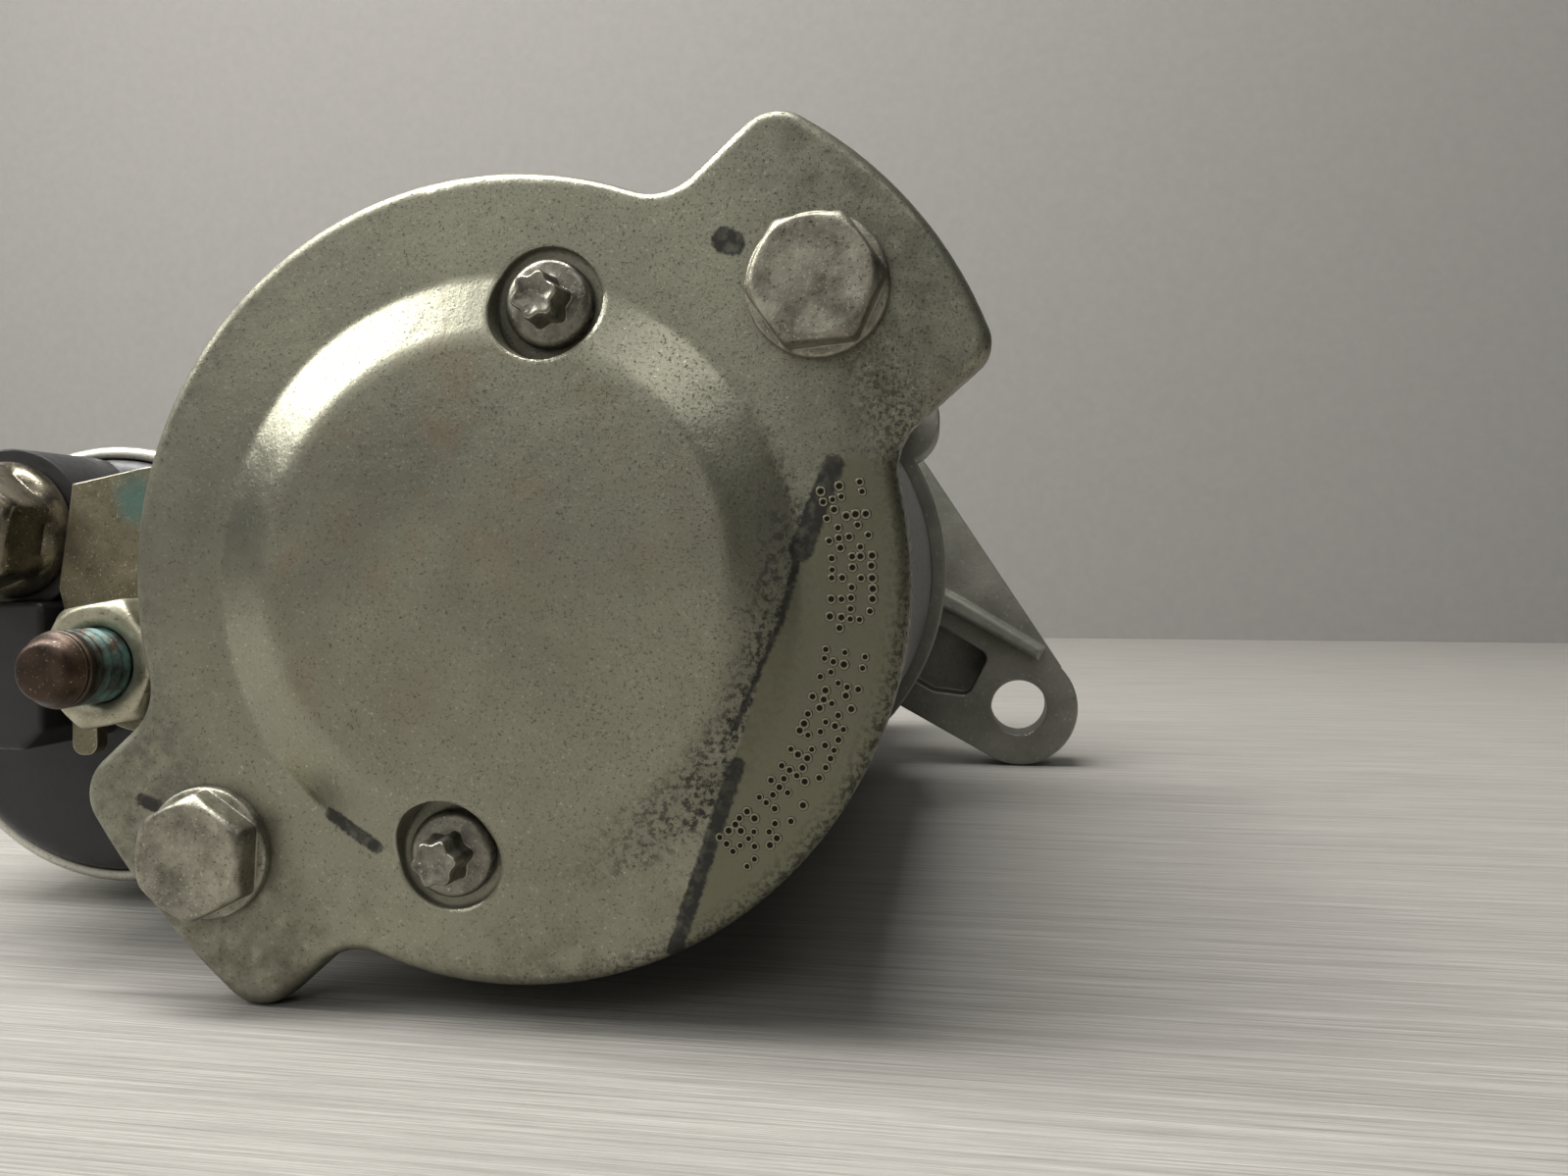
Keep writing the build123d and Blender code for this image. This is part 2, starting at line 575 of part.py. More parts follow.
def signal_terminal():
    blade = Pos(-71.0, -124.0, -12.0) * Box(0.8, 14.0, 6.3)
    return blade - Pos(-71.0, -128.5, -12.0) * Rot(0, 90, 0) * Cylinder(1.0, 4)


def plunger():
    body = bar(-76.6, -43.5, PLUNGER_R, at=SOLENOID)
    return body - bar(-77.0, -62.0, 6.6, at=SOLENOID)


def plunger_hook():
    rod = bar(-43.5, -12.0, 5.5, at=SOLENOID)
    rod -= LEVER_FRAME * Pos(ARM_SPAN - 1.7, HOOK_Y, 0) * Box(9.8, 5.3, 20)
    return fillet(rod.edges().group_by(Axis.Y)[-1], 1.0)


def return_spring():
    return Pos(SOLENOID[0], 0, SOLENOID[1]) * coil(-84.1, -62.1, 5.0, 0.7, 6)


def contact_rod():
    return bar(-115.3, -67.3, 2.5, at=SOLENOID)


def contact_plate():
    return bar(-113.4, -111.6, 16.0, 2.5, at=SOLENOID)


# ---- all the pieces ----
inner_ring, outer_ring, bearing_balls = ball_bearing(-146.2, -139.2, 4.0, 11.0, 7.5, 1.95)

pieces = {
    "end_cover": end_cover(),
    "cover_seal": bar(-144.2, -143.4, YOKE_R - 0.1, YOKE_BORE),
    "through_bolts": through_bolts(),
    "brush_holder_screws": brush_holder_screws(),
    "rear_bearing_inner": inner_ring,
    "rear_bearing_outer": outer_ring,
    "rear_bearing_balls": bearing_balls,
    "yoke": yoke(),
    "field_magnets": field_magnets(),
    "brush_plate": brush_plate(),
    "brush_boxes": brush_boxes(),
    "brush_springs": [brush_spring(a) for a in BRUSH_ANGLES],
    "lead_grommet": lead_grommet(),
    "motor_lead_strap": motor_lead_strap(),
    "centre_bracket": centre_bracket(),
    "shaft_bushes": shaft_bushes(),
    "armature_shaft": armature_shaft(),
    "armature_core": armature_core(),
    "armature_windings": armature_windings(),
    "commutator": commutator(),
    "commutator_hub": bar(*COMM_SPAN, 10.0, 7.4),
    "sun_gear": gear(SUN_TEETH, pi * MODULE / 2 - 0.12, 3.2, GEAR_SPAN),
    "ring_gear": ring_gear(),
    "planet_carrier": planet_carrier(),
    "planet_pins": planet_pins(),
    "output_shaft": output_shaft(),
    "stop_collar": bar(26.6, 28.7, 10.0, SHAFT_R),
    "snap_ring": snap_ring(),
    "gear_bracket": gear_bracket(),
    "drive_housing": drive_housing(),
    "clutch_sleeve": clutch_sleeve(),
    "clutch_barrel": clutch_barrel(),
    "clutch_rollers": clutch_rollers(),
    "clutch_cover": clutch_cover(),
    "pinion": pinion(),
    "shift_lever": shift_lever(),
    "lever_pin": lever_pin(),
    "solenoid_case": solenoid_case(),
    "solenoid_coil": solenoid_coil(),
    "solenoid_bobbin": solenoid_bobbin(),
    "fixed_core": fixed_core(),
    "solenoid_cap": solenoid_cap(),
    "solenoid_screws": solenoid_screws(),
    "motor_stud": stud(M_STUD, -145.4, -138.8),
    "battery_stud": stud(B_STUD, -143.0, -138.4),
    "motor_nut": terminal_nut(M_STUD, -138.4, STRAP_Y[0], 10.0, 0),
    "battery_nut": terminal_nut(B_STUD, -138.0, STRAP_Y[1], 20.0, 7.2),
    "signal_terminal": signal_terminal(),
    "plunger": plunger(),
    "plunger_hook": plunger_hook(),
    "return_spring": return_spring(),
    "contact_rod": contact_rod(),
    "contact_plate": contact_plate(),
}
for number in range(3):
    pieces[f"planet_gear_{number + 1}"] = planet_gear(120 * number)
for number, angle in enumerate(BRUSH_ANGLES):
    pieces[f"brush_{number + 1}"] = brush(angle)

os.makedirs("parts", exist_ok=True)
for name, piece in pieces.items():
    solid = Compound(children=list(piece)) if isinstance(piece, list) else piece
    export_step(solid, f"parts/{name}.step")
    print(name, round(solid.volume, 1))
print(len(pieces), "nodes; fork pivot y", round(PIVOT_Y, 3), "hook y", round(HOOK_Y, 3))
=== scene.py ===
import json
import math
import random

import bpy
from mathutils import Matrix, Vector


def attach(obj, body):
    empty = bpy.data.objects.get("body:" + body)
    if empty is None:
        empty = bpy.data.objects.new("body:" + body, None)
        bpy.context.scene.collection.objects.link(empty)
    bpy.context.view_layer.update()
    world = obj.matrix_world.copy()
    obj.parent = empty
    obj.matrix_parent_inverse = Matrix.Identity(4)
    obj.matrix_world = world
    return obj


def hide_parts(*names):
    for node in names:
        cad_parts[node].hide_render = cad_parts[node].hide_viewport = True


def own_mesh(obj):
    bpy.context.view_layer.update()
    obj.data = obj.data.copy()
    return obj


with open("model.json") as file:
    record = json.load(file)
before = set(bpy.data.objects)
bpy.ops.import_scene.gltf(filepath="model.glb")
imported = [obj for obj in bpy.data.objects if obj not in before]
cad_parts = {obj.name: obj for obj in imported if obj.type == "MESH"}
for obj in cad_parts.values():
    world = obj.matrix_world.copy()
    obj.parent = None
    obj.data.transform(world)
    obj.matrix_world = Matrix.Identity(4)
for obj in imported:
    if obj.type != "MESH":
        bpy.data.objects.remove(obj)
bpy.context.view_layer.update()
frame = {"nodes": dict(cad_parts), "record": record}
nodes = frame["nodes"]
mm = 0.001
print("starter motor: frame loaded,", len(nodes), "CAD pieces")


def hexColor(code, strength=1.0):
    # sRGB hex to the linear colour that the shaders take
    parts = [int(code[i:i + 2], 16) / 255 for i in (1, 3, 5)]
    linear = [c / 12.92 if c <= 0.04045 else ((c + 0.055) / 1.055) ** 2.4 for c in parts]
    return tuple(c * strength for c in linear) + (1.0,)


def addNode(tree, kind, values=None, out=0):
    # one shader node: each value links a socket, sets a property or fills an input
    node = tree.nodes.new("ShaderNode" + kind)
    for key, value in (values or {}).items():
        if isinstance(value, bpy.types.NodeSocket):
            tree.links.new(value, node.inputs[key])
        elif key == "stops":
            elements = node.color_ramp.elements
            for index, (at, grey) in enumerate(value):
                element = elements[index] if index < 2 else elements.new(at)
                element.position = at
                element.color = (grey, grey, grey, 1)
        elif isinstance(key, str) and hasattr(node, key):
            setattr(node, key, value)
        else:
            node.inputs[key].default_value = value
    return node.outputs[out] if node.outputs else node


def newMaterial(name):
    # an empty principled surface, with the place on the object in millimetres
    material = bpy.data.materials.new(name)
    material.use_nodes = True
    tree = material.node_tree
    tree.nodes.clear()
    surface = addNode(tree, "BsdfPrincipled")
    addNode(tree, "OutputMaterial", {"Surface": surface})
    place = addNode(tree, "TexCoord", out=3)
    place = addNode(tree, "VectorMath", {"operation": "SCALE", 0: place, "Scale": 1 / mm})
    return material, tree, surface.node, place


def smoothByAngle(mesh, degrees):
    # soft shading except across edges sharper than this
    for face in mesh.polygons:
        face.use_smooth = True
    mesh.set_sharp_from_angle(angle=math.radians(degrees))


def metalSurface(name, look):
    # metal with an oxide film: cloudy tone, fine specks, rubbed edges, and dirt mixed with painted shade in its
    # corners.
    # look["layers"] lie on top: each is the settings of a stain or of painted shade, or a function of the tree and the
    # place
    material, tree, shader, place = newMaterial(name)
    soft = addNode(tree, "Bevel", {"samples": 4, "Radius": look["edgeMm"] * mm})
    facing = addNode(tree, "NewGeometry", out=1)
    turn = addNode(tree, "VectorMath", {"operation": "DOT_PRODUCT", 0: soft, 1: facing}, out=1)
    edge = addNode(tree, "MapRange", {"Value": turn, "From Min": 0.985, "From Max": 0.88})
    cloud = addNode(tree, "TexNoise", {"Vector": place, "Scale": 1 / look["cloudMm"], "Detail": 6.0,
                                       "Roughness": 0.62})
    fine = addNode(tree, "TexNoise", {"Vector": place, "Scale": 1 / look["grainMm"], "Detail": 2.0,
                                      "Roughness": 0.7})
    tone = addNode(tree, "ValToRGB", {"Fac": cloud, "stops": [(0.32, 0.0), (0.68, 1.0)]})
    base = addNode(tree, "Mix", {"data_type": "RGBA", 0: tone, 6: hexColor(look["dark"]),
                                 7: hexColor(look["light"])}, 2)
    speck = addNode(tree, "MapRange", {"Value": fine, "From Min": look["speck"], "From Max": look["speck"] + 0.05,
                                       "To Max": look["speckShare"]})
    base = addNode(tree, "Mix", {"data_type": "RGBA", 0: speck, 6: base, 7: hexColor(look["speckColor"])}, 2)
    glint = addNode(tree, "MapRange", {"Value": fine, "From Min": look["glint"], "From Max": look["glint"] - 0.04,
                                       "To Max": 0.7})
    bright = addNode(tree, "Math", {"operation": "MAXIMUM", 0: glint, 1: edge})
    bright = addNode(tree, "Math", {"operation": "MULTIPLY", 0: bright, 1: look["wear"]})
    base = addNode(tree, "Mix", {"data_type": "RGBA", 0: bright, 6: base, 7: hexColor(look["worn"])}, 2)
    metallic = addNode(tree, "Math", {"operation": "MULTIPLY_ADD", 0: bright, 1: 1 - look["metallic"],
                                      2: look["metallic"]})
    low, high = look["rough"]
    rough = addNode(tree, "MapRange", {"Value": cloud, "From Min": 0.3, "From Max": 0.7, "To Min": low,
                                       "To Max": high})
    rough = addNode(tree, "Math", {"operation": "MULTIPLY_ADD", 0: bright, 1: -0.12, 2: rough})
    # painted shade: darker colour where ambient occlusion finds corners and hollows, broken into dirt patches by noise
    closed = addNode(tree, "AmbientOcclusion", {"samples": 6, "Distance": look["shadeAndDirtMm"] * mm}, 1)
    closed = addNode(tree, "MapRange", {"Value": closed, "From Min": 0.85, "From Max": 0.25})
    patch = addNode(tree, "TexNoise", {"Vector": place, "Scale": 2.4 / look["cloudMm"], "Detail": 5.0})
    patch = addNode(tree, "MapRange", {"Value": patch, "From Min": 0.38, "From Max": 0.6, "To Min": 0.25,
                                       "To Max": look["shadeAndDirtShare"]})
    cover = addNode(tree, "Math", {"operation": "MULTIPLY", 0: closed, 1: patch})
    layers = [dict(mask=cover, color=look["shadeAndDirt"], metallic=0.1, rough=0.75)]
    for layer in look["layers"]:
        layers.append(stainAndShade(tree, place, layer) if isinstance(layer, dict) else layer(tree, place))
    for layer in layers:
        mask = layer["mask"]
        base = addNode(tree, "Mix", {"data_type": "RGBA", 0: mask, 6: base, 7: hexColor(layer["color"])}, 2)
        metallic = addNode(tree, "Mix", {"data_type": "FLOAT", 0: mask, 2: metallic, 3: layer["metallic"]})
        rough = addNode(tree, "Mix", {"data_type": "FLOAT", 0: mask, 2: rough, 3: layer["rough"]})
    tree.links.new(base, shader.inputs["Base Color"])
    tree.links.new(metallic, shader.inputs["Metallic"])
    tree.links.new(rough, shader.inputs["Roughness"])
    pits = addNode(tree, "Bump", {"Height": fine, "Normal": soft, "Distance": look["reliefMm"] * mm})
    waves = addNode(tree, "TexNoise", {"Vector": place, "Scale": 0.14 / look["grainMm"], "Detail": 2.0})
    waves = addNode(tree, "Bump", {"Height": waves, "Normal": pits, "Distance": look["reliefMm"] * 2.5 * mm})
    tree.links.new(waves, shader.inputs["Normal"])
    return material


def quietSurface(name, look):
    # moulded, sintered, painted or ground surface with slight tone changes, and dust with painted shade in its corners
    material, tree, shader, place = newMaterial(name)
    cloud = addNode(tree, "TexNoise", {"Vector": place, "Scale": 1 / look.get("cloudMm", 9.0), "Detail": 5.0,
                                       "Roughness": 0.6})
    tone = addNode(tree, "MapRange", {"Value": cloud, "From Min": 0.3, "From Max": 0.7})
    second = hexColor(look.get("second", look["color"]), 1.0 if "second" in look else 0.75)
    base = addNode(tree, "Mix", {"data_type": "RGBA", 0: tone, 6: hexColor(look["color"]), 7: second}, 2)
    # painted shade: corners found by ambient occlusion take the dust colour, dark unless a look gives a lighter one
    closed = addNode(tree, "AmbientOcclusion", {"samples": 6, "Distance": 4 * mm}, 1)
    closed = addNode(tree, "MapRange", {"Value": closed, "From Min": 0.9, "From Max": 0.3,
                                        "To Max": look.get("dustAndShadeShare", 0.5)})
    base = addNode(tree, "Mix", {"data_type": "RGBA", 0: closed, 6: base,
                                 7: hexColor(look.get("dustAndShade", "#241f18"))}, 2)
    tree.links.new(base, shader.inputs["Base Color"])
    shader.inputs["Metallic"].default_value = look.get("metallic", 0.0)
    fine = addNode(tree, "TexNoise", {"Vector": place, "Scale": 1 / look["grainMm"], "Detail": 3.0})
    rough = addNode(tree, "MapRange", {"Value": fine, "From Min": 0.3, "From Max": 0.7,
                                       "To Min": look["rough"] - 0.06, "To Max": look["rough"] + 0.08})
    tree.links.new(rough, shader.inputs["Roughness"])
    soft = addNode(tree, "Bevel", {"samples": 4, "Radius": look.get("edgeMm", 0.25) * mm})
    normal = addNode(tree, "Bump", {"Height": fine, "Normal": soft, "Distance": look["reliefMm"] * mm})
    tree.links.new(normal, shader.inputs["Normal"])
    return material


def stainAndShade(tree, place, own):
    # dirt, wear and painted shade between two radii of the motor axis, stronger towards one side and broken up by
    # spots
    flat = addNode(tree, "VectorMath", {"operation": "MULTIPLY", 0: place, 1: (1, 0, 1)})
    radius = addNode(tree, "VectorMath", {"operation": "LENGTH", 0: flat}, 1)
    inside, full, past, outside = own["ringMm"]
    mask = addNode(tree, "MapRange", {"Value": radius, "From Min": inside, "From Max": full})
    outer = addNode(tree, "MapRange", {"Value": radius, "From Min": outside, "From Max": past})
    side = addNode(tree, "VectorMath", {"operation": "DOT_PRODUCT", 0: flat, 1: own["toward"]}, 1)
    side = addNode(tree, "MapRange", {"Value": side, "From Min": own["reachMm"][0], "From Max": own["reachMm"][1]})
    broken = addNode(tree, "TexNoise", {"Vector": place, "Scale": 1 / own["spotMm"], "Detail": 6.0,
                                        "Roughness": 0.65})
    broken = addNode(tree, "MapRange", {"Value": broken, "From Min": own["spots"][0], "From Max": own["spots"][1],
                                        "To Max": own["share"]})
    for factor in (outer, side, broken):
        mask = addNode(tree, "Math", {"operation": "MULTIPLY", 0: mask, 1: factor})
    return dict(mask=mask, color=own["color"], metallic=own["metallic"], rough=own["rough"])


# what each stain, or patch of painted shade, is, where it lies in millimetres from the motor axis, and how it breaks
# up
coverStainsAndShade = {
    "leftShade": {  # darker, mottled band along the left of the rim
        "ringMm": (30.0, 34.0, 50.0, 60.0), "toward": (-1, 0, 0.1), "reachMm": (8, 26), "spotMm": 1.8,
        "spots": (0.34, 0.66), "share": 0.6, "color": "#3a382e", "metallic": 0.4, "rough": 0.6},
    "rightShade": {  # darker, mottled band on the rim at the right: painted shade with some grime
        "ringMm": (26.5, 28.5, 46.0, 52.0), "toward": (0.98, 0, 0.2), "reachMm": (25, 33), "spotMm": 2.2,
        "spots": (0.3, 0.6), "share": 0.45, "color": "#3a382e", "metallic": 0.4, "rough": 0.6},
    "rimGrime": {  # brown road grime along the bottom
        "ringMm": (26.0, 33.0, 50.0, 60.0), "toward": (0.1, 0, -1), "reachMm": (20, 31), "spotMm": 3.0,
        "spots": (0.44, 0.68), "share": 0.5, "color": "#4a3b26", "metallic": 0.3, "rough": 0.7},
    "faintTint": {  # a trace of rust under the plating of the dome
        "ringMm": (-1.0, 0.0, 19.0, 22.0), "toward": (-0.4, 0, 0.5), "reachMm": (-14, 6), "spotMm": 7.0,
        "spots": (0.5, 0.7), "share": 0.34, "color": "#8a6248", "metallic": 0.7, "rough": 0.42},
    "slopeShade": {  # painted shade on the slope at the right, which faces away from the light, drawn as darker, duller plating
        "ringMm": (20.2, 22.0, 25.7, 26.6), "toward": (0.98, 0, -0.2), "reachMm": (15, 25), "spotMm": 3.0,
        "spots": (0.2, 0.5), "share": 0.5, "color": "#3a382e", "metallic": 0.4, "rough": 0.6},
    "darkPits": {  # specks of about 0.3 mm, thickest towards the upper right
        "ringMm": (-1.0, 0.0, 70.0, 80.0), "toward": (0.8, 0, 0.5), "reachMm": (-34, 28), "spotMm": 0.25,
        "spots": (0.57, 0.62), "share": 0.8, "color": "#26231b", "metallic": 0.1, "rough": 0.7},
    "footDirt": {  # packed dirt in the corner at the foot of the slope
        "ringMm": (20.8, 22.8, 26.2, 27.4), "toward": (0.94, 0, -0.34), "reachMm": (13, 23), "spotMm": 0.6,
        "spots": (0.48, 0.58), "share": 0.85, "color": "#1b1811", "metallic": 0.1, "rough": 0.8},
    "edgeChips": {  # worn, blackened plating along the last millimetre of the rim
        "ringMm": (32.2, 34.2, 36.5, 40.0), "toward": (0.9, 0, -0.45), "reachMm": (14, 26), "spotMm": 0.5,
        "spots": (0.47, 0.56), "share": 0.8, "color": "#1b1811", "metallic": 0.1, "rough": 0.75},
}
# a smoother strip between the pen line and the rim
stripLook = {"side": (0.95, 0.0, -0.313), "fromMm": 23.7, "topMm": 10.5, "share": 0.9, "color": "#6f6e5b",
             "metallic": 0.7, "rough": 0.36}


def cleanStrip(tree, place):
    side = addNode(tree, "VectorMath", {"operation": "DOT_PRODUCT", 0: place, 1: stripLook["side"]}, 1)
    mask = addNode(tree, "MapRange", {"Value": side, "From Min": stripLook["fromMm"],
                                      "From Max": stripLook["fromMm"] + 0.2, "To Max": stripLook["share"]})
    height = addNode(tree, "SeparateXYZ", {"Vector": place}, 2)
    below = addNode(tree, "MapRange", {"Value": height, "From Min": stripLook["topMm"],
                                       "From Max": stripLook["topMm"] - 1.0})
    mask = addNode(tree, "Math", {"operation": "MULTIPLY", 0: mask, 1: below})
    return dict(mask=mask, color=stripLook["color"], metallic=stripLook["metallic"], rough=stripLook["rough"])


# felt pen strokes: each is its two ends, as x and z in millimetres, and half its width
inkLook = {
    "strokes": [((19.4, 27.9), (20.1, 27.6), 1.05), ((-15.3, -20.2), (-11.3, -22.8), 0.7),
                ((-33.7, -19.5), (-32.3, -20.0), 0.6), ((28.3, 9.4), (25.7, 2.6), 0.95),
                ((25.5, 2.2), (24.2, -3.0), 0.3), ((24.2, -3.0), (20.4, -11.8), 0.22),
                ((20.4, -14.9), (15.1, -30.6), 0.68)],
    "edgeMm": 0.12, "raggedMm": 0.3, "share": (0.62, 0.95), "color": "#161512", "metallic": 0.15, "rough": 0.5,
}


def inkStrokes(tree, place):
    # the distance to each short line, with a slightly ragged edge and thin spots
    flat = addNode(tree, "VectorMath", {"operation": "MULTIPLY", 0: place, 1: (1, 0, 1)})
    ragged = addNode(tree, "TexNoise", {"Vector": place, "Scale": 2.6, "Detail": 3.0})
    ragged = addNode(tree, "MapRange", {"Value": ragged, "To Min": -inkLook["raggedMm"],
                                        "To Max": inkLook["raggedMm"]})
    total = None
    for start, end, half in inkLook["strokes"]:
        first = Vector((start[0], 0, start[1]))
        along = Vector((end[0], 0, end[1])) - first
        away = addNode(tree, "VectorMath", {"operation": "SUBTRACT", 0: flat, 1: first})
        share = addNode(tree, "VectorMath", {"operation": "DOT_PRODUCT", 0: away, 1: along / along.length_squared}, 1)
        share = addNode(tree, "Math", {"operation": "ADD", "use_clamp": True, 0: share, 1: 0.0})
        foot = addNode(tree, "VectorMath", {"operation": "SCALE", 0: tuple(along), "Scale": share})
        gap = addNode(tree, "VectorMath", {"operation": "DISTANCE", 0: away, 1: foot}, 1)
        gap = addNode(tree, "Math", {"operation": "ADD", 0: gap, 1: ragged})
        stroke = addNode(tree, "MapRange", {"Value": gap, "From Min": half + inkLook["edgeMm"],
                                            "From Max": half - inkLook["edgeMm"]})
        total = stroke if total is None else addNode(tree, "Math", {"operation": "MAXIMUM", 0: total, 1: stroke})
    streak = addNode(tree, "TexNoise", {"Vector": place, "Scale": 1.1, "Detail": 4.0})
    streak = addNode(tree, "MapRange", {"Value": streak, "From Min": 0.3, "From Max": 0.55,
                                        "To Min": inkLook["share"][0], "To Max": inkLook["share"][1]})
    mask = addNode(tree, "Math", {"operation": "MULTIPLY", 0: total, 1: streak})
    return dict(mask=mask, color=inkLook["color"], metallic=inkLook["metallic"], rough=inkLook["rough"])


# pressed steel, zinc plated and aged: dull olive grey with a fine gritty speckle.
# plating has a grain of about 0.05 mm, too fine to show: here and below it is drawn at 0.2 to 0.3 mm
coverLook = {
    "dark": "#8d8c7c", "light": "#9b9a88", "cloudMm": 13.0, "grainMm": 0.28, "speck": 0.62, "speckShare": 0.6,
    "speckColor": "#3b382d", "glint": 0.355, "wear": 0.5, "worn": "#d9d6c4", "edgeMm": 0.6, "shadeAndDirtMm": 4.0,
    "shadeAndDirt": "#2c2619", "shadeAndDirtShare": 0.5, "metallic": 0.9, "rough": (0.27, 0.35), "reliefMm": 0.02,
    "layers": [coverStainsAndShade["leftShade"], coverStainsAndShade["rightShade"], coverStainsAndShade["rimGrime"], coverStainsAndShade["faintTint"],
               coverStainsAndShade["slopeShade"], coverStainsAndShade["darkPits"], coverStainsAndShade["footDirt"], cleanStrip,
               coverStainsAndShade["edgeChips"], inkStrokes],
}
# forged steel, zinc plated: brighter, scuffed on the faces and rubbed along the edges
boltLook = dict(coverLook, dark="#6b685d", light="#aeaa9a", cloudMm=2.6, rough=(0.34, 0.5), reliefMm=0.03, wear=0.8,
                edgeMm=0.25, speckShare=0.7, layers=[])
# phosphated screws: dark oily grey whose rims are rubbed bright
screwLook = dict(coverLook, dark="#65625a", light="#9b988b", cloudMm=1.8, grainMm=0.22, shadeAndDirtMm=2.2, shadeAndDirtShare=1.0,
                 rough=(0.25, 0.42), wear=0.9, worn="#e5e2d4", edgeMm=0.14, layers=[])
# drawn steel can, zinc plated: smooth and bright
caseLook = dict(coverLook, dark="#b4b2a7", light="#d6d4c9", cloudMm=22.0, rough=(0.24, 0.34), reliefMm=0.006,
                metallic=0.7, layers=[])
# yellow zinc nut: pale straw grey with bright corners
nutLook = dict(coverLook, dark="#9d9984", light="#c6c3ad", cloudMm=3.0, rough=(0.3, 0.44), shadeAndDirtMm=2.5, wear=0.9,
               edgeMm=0.2, layers=[])


# turned spigot and faced flange: brighter and smoother than the cast skin
machinedLook = {"frontMm": -0.25, "backMm": 5.3, "share": 0.85, "color": "#bdbcb4", "rough": 0.3}


def machinedFaces(tree, place):
    along = addNode(tree, "SeparateXYZ", {"Vector": place}, 1)
    front = addNode(tree, "MapRange", {"Value": along, "From Min": machinedLook["frontMm"],
                                       "From Max": machinedLook["frontMm"] + 0.15, "To Max": machinedLook["share"]})
    back = addNode(tree, "MapRange", {"Value": along, "From Min": machinedLook["backMm"],
                                      "From Max": machinedLook["backMm"] - 0.2})
    mask = addNode(tree, "Math", {"operation": "MULTIPLY", 0: front, 1: back})
    return dict(mask=mask, color=machinedLook["color"], metallic=1.0, rough=machinedLook["rough"])


# pressure die cast aluminium: matt grey skin, softly pitted, with grime and painted shade in its corners.
# the skin's pits are about 0.3 mm, drawn at 0.8 mm so that they show
castLook = dict(coverLook, dark="#7b7a70", light="#a09f95", cloudMm=15.0, grainMm=0.8, speck=0.66, speckShare=0.4,
                wear=0.55, worn="#c9c8be", edgeMm=0.7, shadeAndDirtMm=8.0, shadeAndDirt="#29251c", metallic=0.8,
                rough=(0.42, 0.56), reliefMm=0.05, layers=[machinedFaces])


# green copper salts on the thread, thickest near the nut
verdigrisLook = {"fadeMm": (-142.9, -140.4), "spotsPerMm": 0.7, "share": 0.85, "color": "#5f8580", "metallic": 0.25,
                 "rough": 0.6}


def verdigris(tree, place):
    along = addNode(tree, "SeparateXYZ", {"Vector": place}, 1)
    near = addNode(tree, "MapRange", {"Value": along, "From Min": verdigrisLook["fadeMm"][0],
                                      "From Max": verdigrisLook["fadeMm"][1]})
    spots = addNode(tree, "TexNoise", {"Vector": place, "Scale": verdigrisLook["spotsPerMm"], "Detail": 5.0,
                                       "Roughness": 0.65})
    spots = addNode(tree, "MapRange", {"Value": spots, "From Min": 0.34, "From Max": 0.62,
                                       "To Max": verdigrisLook["share"]})
    mask = addNode(tree, "Math", {"operation": "MULTIPLY", 0: near, 1: spots})
    return dict(mask=mask, color=verdigrisLook["color"], metallic=verdigrisLook["metallic"],
                rough=verdigrisLook["rough"])


# one green patch where the strap passes the cover's edge
patinaLook = {"at": (-44.6, -132.0, 8.0), "edgeMm": (4.4, 2.4), "raggedMm": 2.2, "share": 0.8, "color": "#4b726b",
              "metallic": 0.2, "rough": 0.6}


def strapPatina(tree, place):
    gap = addNode(tree, "VectorMath", {"operation": "DISTANCE", 0: place, 1: patinaLook["at"]}, 1)
    ragged = addNode(tree, "TexNoise", {"Vector": place, "Scale": 0.5, "Detail": 5.0})
    gap = addNode(tree, "Math", {"operation": "MULTIPLY_ADD", 0: ragged, 1: patinaLook["raggedMm"], 2: gap})
    mask = addNode(tree, "MapRange", {"Value": gap, "From Min": patinaLook["edgeMm"][0],
                                      "From Max": patinaLook["edgeMm"][1], "To Max": patinaLook["share"]})
    return dict(mask=mask, color=patinaLook["color"], metallic=patinaLook["metallic"], rough=patinaLook["rough"])


# rolled copper stud, tarnished: red brown, green near its nut
studLook = dict(nutLook, dark="#2f2823", light="#544338", worn="#94877c", shadeAndDirt="#1d1712", metallic=0.85,
                rough=(0.34, 0.5), grainMm=0.3, layers=[verdigris])
# tarnished brass nut: brown gold with a soft shine
brassyLook = dict(nutLook, dark="#5a5446", light="#968e7c", shadeAndDirt="#2b2113", rough=(0.24, 0.38), worn="#eae5d6")
# tinned copper strap dulled by heat: khaki with a green patch
strapLook = dict(nutLook, dark="#6d6754", light="#8d866f", metallic=0.7, rough=(0.4, 0.54), layers=[strapPatina])

finishes = {
    "zinc_cover": metalSurface("zincPlatedPressedSteel", coverLook),
    "zinc_bolt": metalSurface("zincPlatedForgedSteel", boltLook),
    "dark_screw": metalSurface("phosphatedMachinedSteel", screwLook),
    "cast_housing": metalSurface("dieCastAluminium", castLook),
    "solenoid_steel": metalSurface("zincPlatedDrawnSteel", caseLook),
    "zinc_nut": metalSurface("yellowZincForgedSteel", nutLook),
    "brassy_nut": metalSurface("tarnishedMachinedBrass", brassyLook),
    "tinned_strap": metalSurface("tinnedPressedCopper", strapLook),
    "stud_copper": metalSurface("tarnishedRolledCopper", studLook),
}
